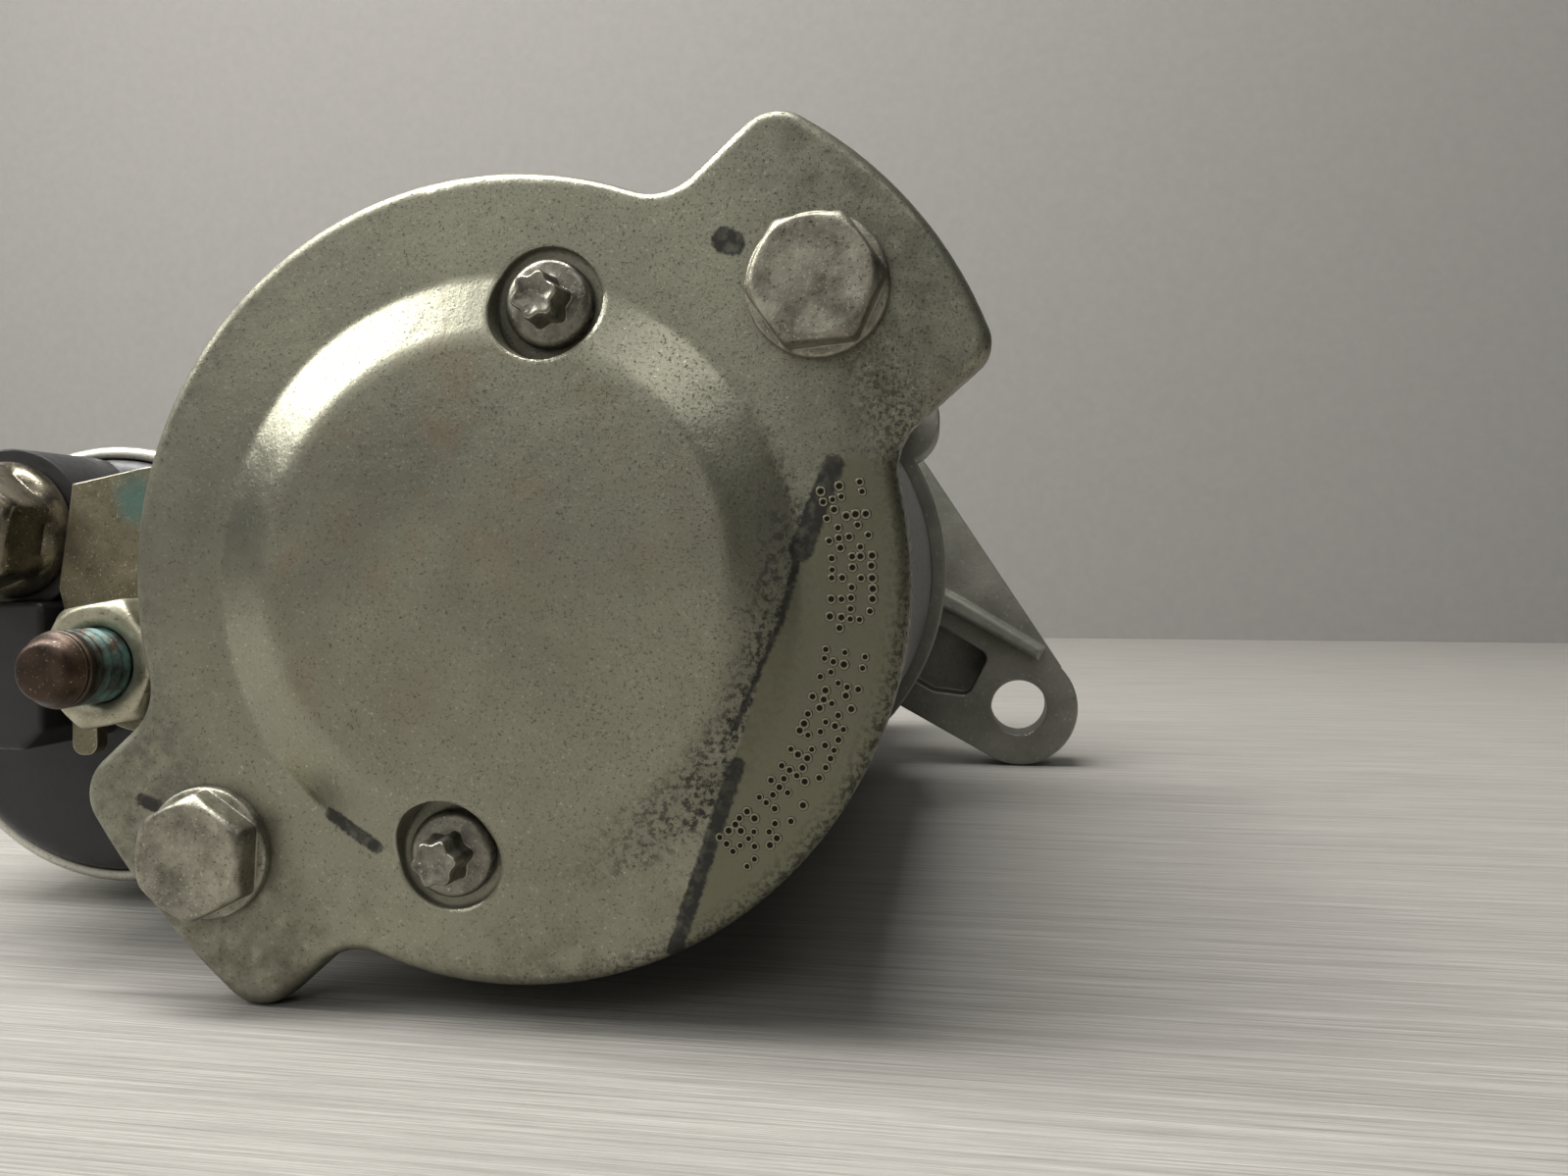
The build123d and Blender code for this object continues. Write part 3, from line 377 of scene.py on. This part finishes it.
# slot: the material's name, what it gives the eye, then its settings. Ground, drawn and moulded textures
# are finer than 0.1 mm, so their grain is drawn at 0.3 to 0.9 mm to show
quietLooks = {
    "yoke_paint": ("electrocoatedSteelTube", {  # satin black paint, slightly dusty
        "color": "#262622", "rough": 0.42, "grainMm": 0.8, "reliefMm": 0.01, "second": "#33312b", "dustAndShade": "#3d372b"}),
    "seal_rubber": ("mouldedNitrileRubber", {   # dull black
        "color": "#151514", "rough": 0.7, "grainMm": 0.6, "reliefMm": 0.02}),
    "grommet_rubber": ("mouldedRubberGrommet", {  # dull black with a grey bloom
        "color": "#1a1917", "rough": 0.66, "grainMm": 0.6, "reliefMm": 0.02, "second": "#2a2925"}),
    "cap_phenolic": ("mouldedPhenolic", {       # near black, softly shining
        "color": "#17171a", "rough": 0.44, "grainMm": 0.7, "reliefMm": 0.02, "second": "#242427",
        "dustAndShade": "#3a352b", "dustAndShadeShare": 0.35, "edgeMm": 0.4}),
    "bearing_steel": ("groundBearingSteel", {   # bright, finely ground
        "color": "#b9b9b7", "metallic": 1.0, "rough": 0.22, "grainMm": 0.4, "reliefMm": 0.003}),
    "bearing_ball": ("lappedBearingSteel", {    # mirror bright
        "color": "#c9c9c9", "metallic": 1.0, "rough": 0.12, "grainMm": 0.4, "reliefMm": 0.001}),
    "ferrite": ("sinteredFerrite", {            # charcoal, slightly sandy
        "color": "#2b2b2c", "rough": 0.6, "grainMm": 0.5, "reliefMm": 0.02}),
    "plate_phenolic": ("pressedPaperPhenolic", {  # warm brown sheet
        "color": "#4a3120", "rough": 0.5, "grainMm": 0.9, "reliefMm": 0.01}),
    "brass_sheet": ("pressedBrassSheet", {      # yellow, a little dulled
        "color": "#b2904e", "metallic": 1.0, "rough": 0.34, "grainMm": 0.8, "reliefMm": 0.006}),
    "spring_steel": ("coiledSpringSteel", {     # grey drawn wire
        "color": "#8b8a86", "metallic": 1.0, "rough": 0.3, "grainMm": 0.4, "reliefMm": 0.004}),
    "sintered_bronze": ("sinteredBronze", {     # porous dark gold
        "color": "#8a6a43", "metallic": 1.0, "rough": 0.48, "grainMm": 0.3, "reliefMm": 0.02}),
    "bracket_steel": ("pressedMildSteel", {     # plain grey plate
        "color": "#85847e", "metallic": 1.0, "rough": 0.4, "grainMm": 0.8, "reliefMm": 0.008}),
    "shaft_steel": ("groundCarbonSteel", {      # bright shaft with faint grinding marks
        "color": "#b2b1ac", "metallic": 1.0, "rough": 0.26, "grainMm": 0.3, "reliefMm": 0.004}),
    "lamination_steel": ("stackedSiliconSteel", {  # dull grey sheet edges
        "color": "#5d5c59", "metallic": 0.9, "rough": 0.45, "grainMm": 0.5, "reliefMm": 0.02}),
    "copper_wire": ("enamelledCopperWire", {    # amber varnish over copper
        "color": "#8e4e2a", "metallic": 0.8, "rough": 0.35, "grainMm": 0.6, "reliefMm": 0.02}),
    "copper_bar": ("turnedCopperSegments", {    # salmon copper, browned by the brushes
        "color": "#b06a45", "metallic": 1.0, "rough": 0.3, "grainMm": 0.4, "reliefMm": 0.004}),
    "hub_phenolic": ("mouldedBrownPhenolic", {  # dark brown filler
        "color": "#3a271a", "rough": 0.5, "grainMm": 0.6, "reliefMm": 0.01}),
    "gear_steel": ("hardenedGearSteel", {       # greased grey teeth
        "color": "#8f8d86", "metallic": 1.0, "rough": 0.32, "grainMm": 0.5, "reliefMm": 0.008, "dustAndShade": "#1d1914",
        "dustAndShadeShare": 0.75}),
    "ring_plastic": ("mouldedGlassFilledNylon", {  # dark grey, faintly fibrous
        "color": "#3b3a36", "rough": 0.55, "grainMm": 0.5, "reliefMm": 0.015}),
    "clutch_steel": ("turnedAlloySteel", {      # grey with an oily film
        "color": "#86847d", "metallic": 1.0, "rough": 0.34, "grainMm": 0.5, "reliefMm": 0.008}),
    "lever_nylon": ("mouldedNylon", {           # black, slightly waxy
        "color": "#262421", "rough": 0.5, "grainMm": 0.6, "reliefMm": 0.015}),
    "bobbin_nylon": ("mouldedNaturalNylon", {   # cream, slightly waxy
        "color": "#c7bfa8", "rough": 0.45, "grainMm": 0.6, "reliefMm": 0.008}),
    "carbon": ("pressedCopperGraphite", {       # brown black, matt
        "color": "#2e2622", "metallic": 0.3, "rough": 0.55, "grainMm": 0.3, "reliefMm": 0.015}),
}
for slotName, (surfaceName, slotLook) in quietLooks.items():
    finishes[slotName] = quietSurface(surfaceName, slotLook)
for part in frame["record"]["subparts"]:
    mesh = nodes[part["node"]].data
    mesh.materials.clear()
    mesh.materials.append(finishes[part["material_slot"]])
    smoothByAngle(mesh, 32)
print("starter motor: materials on the CAD pieces")


def ringRadius(y, radius, angle, shape):
    # a plain ring, a hexagon with soft corners and a cone over them, a six-lobed star or a thread
    if shape is None:
        return radius
    kind, size, extra = shape
    if kind == "hex":
        corner, crisp = 40, 26
        reach = sum(abs(math.cos(angle - extra - math.radians(30 + 60 * k))) ** corner for k in range(3))
        flat = size / 2 / reach ** (1 / corner)
        return (radius ** -crisp + flat ** -crisp) ** (-1 / crisp)
    if kind == "star":
        return radius * (1 - size * (0.5 - 0.5 * math.cos(6 * (angle - extra))))
    phase = (y / size - angle / (2 * math.pi)) % 1.0
    return radius - extra * abs(2 * phase - 1)


def addPiece(name, slot, points, faces, sharpDegrees, replaced=None, material=None):
    # a fixed piece with its finish, which may stand in for a CAD piece
    mesh = bpy.data.meshes.new(name)
    mesh.from_pydata(points, [], faces)
    mesh.validate()
    mesh.materials.append(material or finishes[slot])
    smoothByAngle(mesh, sharpDegrees)
    piece = bpy.data.objects.new(name, mesh)
    bpy.context.scene.collection.objects.link(piece)
    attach(piece, "root")
    if replaced:
        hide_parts(replaced)
    return piece


def turnedPiece(name, slot, replaced, bodies, segments=96):
    # surfaces turned about axes along Y: each body is its axis (x, z), its rings (y, radius, shape)
    # from the free end, and whether the rings close on themselves round a bore
    points, faces = [], []
    for at, rings, hollow in bodies:
        start = len(points)
        for y, radius, shape in rings:
            for step in range(segments):
                angle = 2 * math.pi * step / segments
                reach = ringRadius(y, radius, angle, shape)
                points.append(((at[0] + reach * math.cos(angle)) * mm, y * mm, (at[1] + reach * math.sin(angle)) * mm))
        loops = len(rings) if hollow else len(rings) - 1
        for ring in range(loops):
            low, high = start + ring * segments, start + (ring + 1) % len(rings) * segments
            for step in range(segments):
                after = (step + 1) % segments
                faces.append((low + step, low + after, high + after, high + step))
        if not hollow:
            for ring, turn in ((0, 1), (len(rings) - 1, -1)):
                points.append((at[0] * mm, rings[ring][0] * mm, at[1] * mm))
                for step in range(segments):
                    pair = (start + ring * segments + step, start + ring * segments + (step + 1) % segments)
                    faces.append((len(points) - 1,) + pair[::-turn])
    addPiece(name, slot, points, faces, 38, replaced)


def threadRings(fromY, toY, radius, pitch, depth):
    # closely spaced rings for a thread that fades in at its free end
    count = round(abs(toY - fromY) / pitch * 10)
    rings = []
    for k in range(count + 1):
        y = fromY + (toY - fromY) * k / count
        fade = min(1.0, abs(y - fromY) / pitch)
        rings.append((y, radius, ("thread", pitch, depth * fade)))
    return rings


def shapedRings(y, profile, shape):
    # rows of a profile are a step along Y, a radius, and whether the shape cuts that ring
    return [(y + step, radius, shape if cut else None) for step, radius, cut in profile]


def plainRings(y, profile):
    return [(y + step, radius, None) for step, radius in profile]


def onCircle(sizes, side):
    # x and z of one of two fasteners that face each other across the motor axis
    angle = math.radians(sizes["direction"] + side)
    return sizes["circle"] * math.cos(angle), sizes["circle"] * math.sin(angle)


springSizes = {
    "return": {"axis": (0, 1, 0), "from": (-57.5, -84.1, -10.1), "length": 22.0, "radius": 5.0, "wire": 0.7,
               "turns": 7, "travel": 7.39},
    "brush": {"from": 27.5, "y": -132.5, "length": 2.9, "radius": 2.1, "wire": 0.3, "turns": 3, "travel": 1.05,
              "angles": (34.2, 124.2, 214.2, 304.2)},
    "stepsPerTurn": 28, "around": 10, "closing": 0.11,
}


def coiledSpring(name, node, own):
    # round wire wound from its fixed end, with the end turns closed up
    along = Vector(own["axis"])
    side = along.orthogonal().normalized()
    across = along.cross(side)
    steps, around = own["turns"] * springSizes["stepsPerTurn"], springSizes["around"]
    points, faces = [], []
    for step in range(steps + 1):
        share = step / steps
        turn = 2 * math.pi * own["turns"] * share
        rise = share - math.sin(2 * math.pi * share) * springSizes["closing"]
        outward = side * math.cos(turn) + across * math.sin(turn)
        centre = Vector(own["from"]) + outward * own["radius"]
        centre += along * (own["wire"] + (own["length"] - 2 * own["wire"]) * rise)
        for k in range(around):
            angle = 2 * math.pi * k / around
            points.append((centre + (outward * math.cos(angle) + along * math.sin(angle)) * own["wire"]) * mm)
            if step < steps:
                low, after = step * around, (k + 1) % around
                faces.append((low + k, low + after, low + around + after, low + around + k))
    faces += [tuple(reversed(range(around))), tuple(steps * around + k for k in range(around))]
    piece = addPiece(name, "spring_steel", points, faces, 50, node)
    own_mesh(piece)


def brushSprings(own):
    # one behind each brush, pushing it inwards
    for number, degrees in enumerate(own["angles"]):
        outward = Vector((math.cos(math.radians(degrees)), 0, math.sin(math.radians(degrees))))
        base = outward * own["from"] + Vector((0, own["y"], 0))
        coiledSpring(f"brushSpring{number + 1}", "brush_springs",
                     dict(own, axis=tuple(-outward), **{"from": tuple(base)}))


coiledSpring("plungerReturnSpring", "return_spring", springSizes["return"])
brushSprings(springSizes["brush"])
print("starter motor: springs")

# the solenoid can's rear edge, rolled over its cap
rimSizes = {"at": (-57.5, -10.1), "from": -119.4,
            "profile": [(0.5, 23.56), (0.1, 23.68), (0.0, 23.9), (0.06, 24.5), (0.3, 24.78), (0.8, 25.0), (11.8, 25.0),
                        (12.8, 24.6), (13.4, 24.02), (13.4, 23.56)]}


def rolledRim(sizes):
    rings = plainRings(sizes["from"], sizes["profile"])
    turnedPiece("rolledCanRim", "solenoid_steel", None, [(sizes["at"], rings, True)], 160)


rolledRim(rimSizes)

# hexagon heads with a cupped top, a pressed washer face and soft, worn corners
boltSizes = {
    "circle": 36.1, "direction": 41.4, "face": -146.0, "flats": 10.0, "turns": (5.5, 26.5), "shank": 2.95,
    "threadFrom": -72.0, "threadTo": -52.0, "end": -44.0, "pitch": 1.0, "threadDepth": 0.3,
    "head": [(-3.3, 0.5, False), (-3.3, 2.6, False), (-3.34, 3.6, False), (-3.42, 4.3, False), (-3.44, 4.66, False),
             (-3.4, 4.84, True), (-3.3, 4.98, True), (-3.14, 5.2, True), (-2.94, 5.5, True), (-2.7, 5.9, True),
             (-2.4, 6.5, True), (-2.0, 7.2, True), (-1.2, 7.4, True), (-0.96, 7.4, True), (-0.88, 5.7, False),
             (-0.8, 5.78, False), (-0.66, 5.84, False), (-0.2, 5.85, False), (-0.04, 5.82, False), (0.0, 5.7, False)],
}


def forgedBolts(sizes):
    bodies = []
    for side, turn in zip((0, 180), sizes["turns"]):
        rings = shapedRings(sizes["face"], sizes["head"], ("hex", sizes["flats"], math.radians(turn)))
        rings += [(sizes["face"], sizes["shank"], None), (sizes["threadFrom"], sizes["shank"], None)]
        rings += threadRings(sizes["threadFrom"] + 0.2, sizes["threadTo"], sizes["shank"], sizes["pitch"],
                             sizes["threadDepth"])
        rings += [(sizes["end"], sizes["shank"] - 0.1, None)]
        bodies.append((onCircle(sizes, side), rings, False))
    turnedPiece("forgedThroughBolts", "zinc_bolt", "through_bolts", bodies)


forgedBolts(boltSizes)

# flanged screws with a raised six-lobed head, its edges rounded by use
screwSizes = {
    "circle": 23.65, "direction": 79.2, "turns": (14.0, 8.0), "top": -149.6, "lobeDepth": 0.2, "shank": 2.0,
    "seat": -145.0, "end": -136.0,
    "head": [(0.3, 0.4, True), (0.26, 1.1, True), (0.04, 1.55, True), (0.0, 1.75, True), (0.05, 1.92, True),
             (0.25, 2.06, True), (2.5, 2.16, True), (2.95, 2.3, True), (3.1, 2.62, False), (3.16, 2.9, False),
             (3.2, 3.2, False), (3.34, 3.5, False), (3.62, 3.72, False), (3.95, 3.78, False), (4.3, 3.76, False),
             (4.52, 3.66, False), (4.6, 3.5, False)],
}


def starScrews(sizes):
    bodies = []
    for side, turn in zip((0, 180), sizes["turns"]):
        rings = shapedRings(sizes["top"], sizes["head"], ("star", sizes["lobeDepth"], math.radians(turn)))
        rings += [(sizes["seat"], sizes["shank"], None), (sizes["end"], sizes["shank"], None)]
        bodies.append((onCircle(sizes, side), rings, False))
    turnedPiece("starHeadScrews", "dark_screw", "brush_holder_screws", bodies, 144)


starScrews(screwSizes)

# a dog point with a chamfer, then a rolled thread down to a shoulder in the cap
studSizes = {
    "radius": 3.68, "pitch": 1.25, "depth": 0.36, "threadTo": -131.5,
    "point": [(0.0, 0.5), (0.0, 2.28), (0.05, 2.48), (0.35, 2.78), (1.0, 3.08), (1.6, 3.38), (1.75, 3.54)],
    "foot": [(0.2, 3.63), (13.4, 3.63), (13.5, 5.5), (15.3, 5.5), (15.4, 5.2)],
    "motor": {"at": (-44.5, -8.3), "tip": -145.4, "threadFrom": -143.2},
    "battery": {"at": (-60.5, 5.0), "tip": -143.0, "threadFrom": -141.0},
}


def threadedStud(name, node, sizes, own):
    rings = plainRings(own["tip"], sizes["point"]) + [(own["threadFrom"] - 0.1, sizes["radius"] - 0.1, None)]
    rings += threadRings(own["threadFrom"], sizes["threadTo"], sizes["radius"], sizes["pitch"], sizes["depth"])
    rings += plainRings(sizes["threadTo"], sizes["foot"])
    turnedPiece(name, "stud_copper", node, [(own["at"], rings, False)])


threadedStud("motorStudThreaded", "motor_stud", studSizes, studSizes["motor"])
threadedStud("batteryStudThreaded", "battery_stud", studSizes, studSizes["battery"])

# chamfered hexagon nuts; the battery's has a rounded flange under it
nutSizes = {
    "flats": 12.0,
    "top": [(0.55, 3.75, False), (0.25, 4.0, False), (0.06, 4.45, False), (0.0, 4.8, False), (0.0, 5.55, False),
            (0.07, 5.85, True), (0.3, 6.2, True), (0.62, 6.65, True), (1.0, 7.2, True), (1.6, 8.2, True),
            (2.6, 8.6, True)],
    "plainFoot": [(-1.4, 8.6, True), (-0.5, 7.2, True), (-0.2, 6.5, True), (-0.01, 6.1, False), (-0.01, 4.0, False),
                  (-0.2, 3.75, False)],
    "flangeFoot": [(-2.6, 8.6, True), (-2.1, 6.62, False), (-1.7, 6.88, False), (-1.1, 7.14, False),
                   (-0.5, 7.2, False), (-0.12, 7.1, False), (-0.01, 6.8, False), (-0.01, 4.0, False),
                   (-0.2, 3.75, False)],
    "motor": {"at": (-44.5, -8.3), "from": -138.4, "to": -132.0, "turn": 10.0, "foot": "plainFoot"},
    "battery": {"at": (-60.5, 5.0), "from": -138.0, "to": -130.5, "turn": 20.0, "foot": "flangeFoot"},
}


def hexNut(name, slot, node, sizes, own):
    hexagon = ("hex", sizes["flats"], math.radians(own["turn"]))
    rings = shapedRings(own["from"], sizes["top"], hexagon) + shapedRings(own["to"], sizes[own["foot"]], hexagon)
    turnedPiece(name, slot, node, [(own["at"], rings, True)])


hexNut("motorNutForged", "zinc_nut", "motor_nut", nutSizes, nutSizes["motor"])
hexNut("batteryNutFlanged", "brassy_nut", "battery_nut", nutSizes, nutSizes["battery"])
print("starter motor: rolled rim, bolts, screws, studs and nuts")

# a plain pattern of punched dots round the rim: it spells nothing. A group is its first angle, its last, its cells
peenLook = {
    "face": -146.0, "groups": [(13.5, -5.5, 5), (-12.5, -46.0, 8)], "radii": (28.3, 29.1, 29.9, 30.7, 31.5),
    "columns": 3, "columnMm": 0.85, "dotMm": 0.43, "rimMm": 0.06, "around": 14, "seed": 7,
    "turnSpread": 0.15, "reachSpread": 0.08, "sizeSpread": (0.85, 1.1),
    "profile": [(0.0, 0.012), (0.42, 0.02), (0.62, 0.75), (0.76, 1.0), (0.88, 0.8), (1.05, -0.3)],
    "pitDirtAndShade": "#26231a", "rim": "#8f8c79", "rimFrom": (-0.03, -0.048), "rough": (0.6, 0.34), "metallic": 0.9,
}


def punchedSteel(look):
    # cold punched, zinc plated steel: bright bruised rims round pits, coloured dark for dirt and for the painted shade
    # of a hollow that is not cut
    material, tree, shader, place = newMaterial("coldPunchedZincedSteel")
    lift = addNode(tree, "SeparateXYZ", {"Vector": place}, 1)
    rim = addNode(tree, "MapRange", {"Value": lift, "From Min": look["face"] + look["rimFrom"][0],
                                     "From Max": look["face"] + look["rimFrom"][1]})
    # painted shade: the low middle of each dot, which is not sunk below the face, takes the dark pit colour
    base = addNode(tree, "Mix", {"data_type": "RGBA", 0: rim, 6: hexColor(look["pitDirtAndShade"]), 7: hexColor(look["rim"])}, 2)
    rough = addNode(tree, "MapRange", {"Value": rim, "To Min": look["rough"][0], "To Max": look["rough"][1]})
    tree.links.new(base, shader.inputs["Base Color"])
    tree.links.new(rough, shader.inputs["Roughness"])
    shader.inputs["Metallic"].default_value = look["metallic"]
    return material


def peenedDots(look):
    # each dot is a small crater with a raised rim
    draw = random.Random(look["seed"])
    dots = []
    for first, last, cells in look["groups"]:
        for cell in range(cells):
            middle = first + (last - first) * cell / (cells - 1)
            for column in range(look["columns"]):
                for row, radius in enumerate(look["radii"]):
                    if (row * 2 + column + cell * 3) % 4 == 0 or (row + column * cell) % 5 == 3:
                        continue
                    step = math.degrees(look["columnMm"] / radius) * (column - 1)
                    angle = math.radians(middle + step + draw.uniform(-look["turnSpread"], look["turnSpread"]))
                    reach = radius + draw.uniform(-look["reachSpread"], look["reachSpread"])
                    dots.append((reach * math.cos(angle), reach * math.sin(angle), draw.uniform(*look["sizeSpread"])))
    points, faces = [], []
    around, profile = look["around"], look["profile"]
    for x, z, scale in dots:
        start = len(points)
        for share, height in profile:
            lift = height * (look["rimMm"] if share > 0.5 else 1.0)
            for step in range(around):
                angle = 2 * math.pi * step / around
                reach = look["dotMm"] * scale * max(share, 0.02)
                points.append(((x + reach * math.cos(angle)) * mm, (look["face"] - lift) * mm,
                               (z + reach * math.sin(angle)) * mm))
        for ring in range(len(profile) - 1):
            for step in range(around):
                low, high = start + ring * around, start + (ring + 1) * around
                after = (step + 1) % around
                faces.append((low + step, low + after, high + after, high + step))
        faces.append(tuple(start + step for step in reversed(range(around))))
    addPiece("peenedDots", "zinc_cover", points, faces, 180, material=punchedSteel(look))


peenedDots(peenLook)
print("starter motor: punched dots on the cover")

stageLook = {
    "floorZ": -37.55, "backY": 382.0, "halfWidthMm": 1500.0, "frontMm": -1500.0, "wallTopMm": 1500.0,
    "wallFootMm": 300.0, "floor": ("#7d7b76", "#a9a6a0"), "floorRough": 0.55, "grooveMm": 0.08,
    "wall": ("#83817e", "#8c8a86"), "wallRough": 0.9, "weaveMm": 4.0,
    "streakMm": (24.0, 0.32),  # sanding marks are nearer 0.1 mm wide, too fine to show
}


def stageSheet(name, corners, material):
    mesh = bpy.data.meshes.new(name)
    mesh.from_pydata([Vector(corner) * mm for corner in corners], [], [(0, 1, 2, 3)])
    mesh.materials.append(material)
    sheet = bpy.data.objects.new(name, mesh)
    bpy.context.scene.collection.objects.link(sheet)


def sandedBoard(look):
    # pale sanded board: faint streaks of light and dark, softly shining
    material, tree, shader, place = newMaterial("paleSandedBoard")
    long, short = look["streakMm"]
    stretched = addNode(tree, "VectorMath", {"operation": "MULTIPLY", 0: place, 1: (1 / long, 1 / short, 1.0)})
    streaks = addNode(tree, "TexNoise", {"Vector": stretched, "Scale": 1.0, "Detail": 4.0, "Roughness": 0.7})
    streaks = addNode(tree, "MapRange", {"Value": streaks, "From Min": 0.3, "From Max": 0.7})
    tone = addNode(tree, "Mix", {"data_type": "RGBA", 0: streaks, 6: hexColor(look["floor"][0]),
                                 7: hexColor(look["floor"][1])}, 2)
    tree.links.new(tone, shader.inputs["Base Color"])
    shader.inputs["Roughness"].default_value = look["floorRough"]
    grooves = addNode(tree, "Bump", {"Height": streaks, "Distance": look["grooveMm"] * mm})
    tree.links.new(grooves, shader.inputs["Normal"])
    return material


def wallPaper(look):
    # matt woven paper: flat warm grey
    material, tree, shader, place = newMaterial("mattWallPaper")
    weave = addNode(tree, "TexNoise", {"Vector": place, "Scale": 1 / look["weaveMm"], "Detail": 3.0})
    tone = addNode(tree, "Mix", {"data_type": "RGBA", 0: weave, 6: hexColor(look["wall"][0]),
                                 7: hexColor(look["wall"][1])}, 2)
    tree.links.new(tone, shader.inputs["Base Color"])
    shader.inputs["Roughness"].default_value = look["wallRough"]
    return material


def buildStage(look):
    # a pale table top, and a plain grey wall behind it
    half, front, back = look["halfWidthMm"], look["frontMm"], look["backY"]
    low, foot, top = look["floorZ"], look["floorZ"] - look["wallFootMm"], look["wallTopMm"]
    stageSheet("tableTop", [(-half, front, low), (half, front, low), (half, back, low), (-half, back, low)],
               sandedBoard(look))
    stageSheet("plainWall", [(-half, back, foot), (half, back, foot), (half, back, top), (-half, back, top)],
               wallPaper(look))


buildStage(stageLook)
print("starter motor: table and wall")

# soft studio light: a long panel overhead, one at the left and two faint ones in front, in a dim room.
# each panel is its place, its target and its size in millimetres, its watts and its colour
lightLook = {
    "panelAbove": ((-250, -140, 820), (0, -130, 0), (220, 760), 12.5, "#fffefc"),
    "panelLeft": ((-710, -325, 600), (0, -120, 10), (420, 570), 7.2, "#fffefb"),
    "panelFront": ((-420, -1020, 480), (0, -140, 0), (1200, 760), 1.8, "#fffdf8"),
    "panelHigh": ((240, -800, 720), (0, -140, 0), (420, 340), 0.95, "#fffefb"),
}
# the room is brighter on the side that it faces toward
roomLook = {"color": "#8c8b88", "strength": (0.03, 0.5), "toward": (-0.45, -0.45, 0.77)}


def addSoftLight(name, place, target, sizeMm, watts, color):
    lamp = bpy.data.lights.new(name, "AREA")
    lamp.shape = "RECTANGLE"
    lamp.size, lamp.size_y = sizeMm[0] * mm, sizeMm[1] * mm
    lamp.energy = watts
    lamp.color = hexColor(color)[:3]
    light = bpy.data.objects.new(name, lamp)
    light.location = Vector(place) * mm
    light.rotation_euler = (Vector(target) - Vector(place)).to_track_quat("-Z", "Y").to_euler()
    bpy.context.scene.collection.objects.link(light)


def buildRoom(look):
    world = bpy.data.worlds.new("softRoom")
    world.use_nodes = True
    tree = world.node_tree
    toward = addNode(tree, "TexCoord")
    toward = addNode(tree, "VectorMath", {"operation": "DOT_PRODUCT", 0: toward, 1: look["toward"]}, 1)
    toward = addNode(tree, "MapRange", {"Value": toward, "From Min": -0.1, "From Max": 1.0,
                                        "To Min": look["strength"][0], "To Max": look["strength"][1]})
    background = tree.nodes["Background"]
    tree.links.new(toward, background.inputs["Strength"])
    background.inputs["Color"].default_value = hexColor(look["color"])
    bpy.context.scene.world = world


for lightName, lightValues in lightLook.items():
    addSoftLight(lightName, *lightValues)
buildRoom(roomLook)
print("starter motor: lights")

cameraLook = {"place": (39.7, -241.2, 1.76), "lens": 27.29, "sensorMm": 36.0, "nearMm": 10.0, "pitch": 88.72,
              "yaw": 9.17}


def addCamera(look):
    data = bpy.data.cameras.new("camera")
    data.lens = look["lens"]
    data.sensor_width = look["sensorMm"]
    data.clip_start = look["nearMm"] * mm
    camera = bpy.data.objects.new("camera", data)
    camera.location = Vector(look["place"]) * mm
    camera.rotation_euler = (math.radians(look["pitch"]), 0, math.radians(look["yaw"]))
    bpy.context.scene.collection.objects.link(camera)
    bpy.context.scene.camera = camera


addCamera(cameraLook)
bpy.context.scene.view_settings.view_transform = "Standard"
print("starter motor: camera")
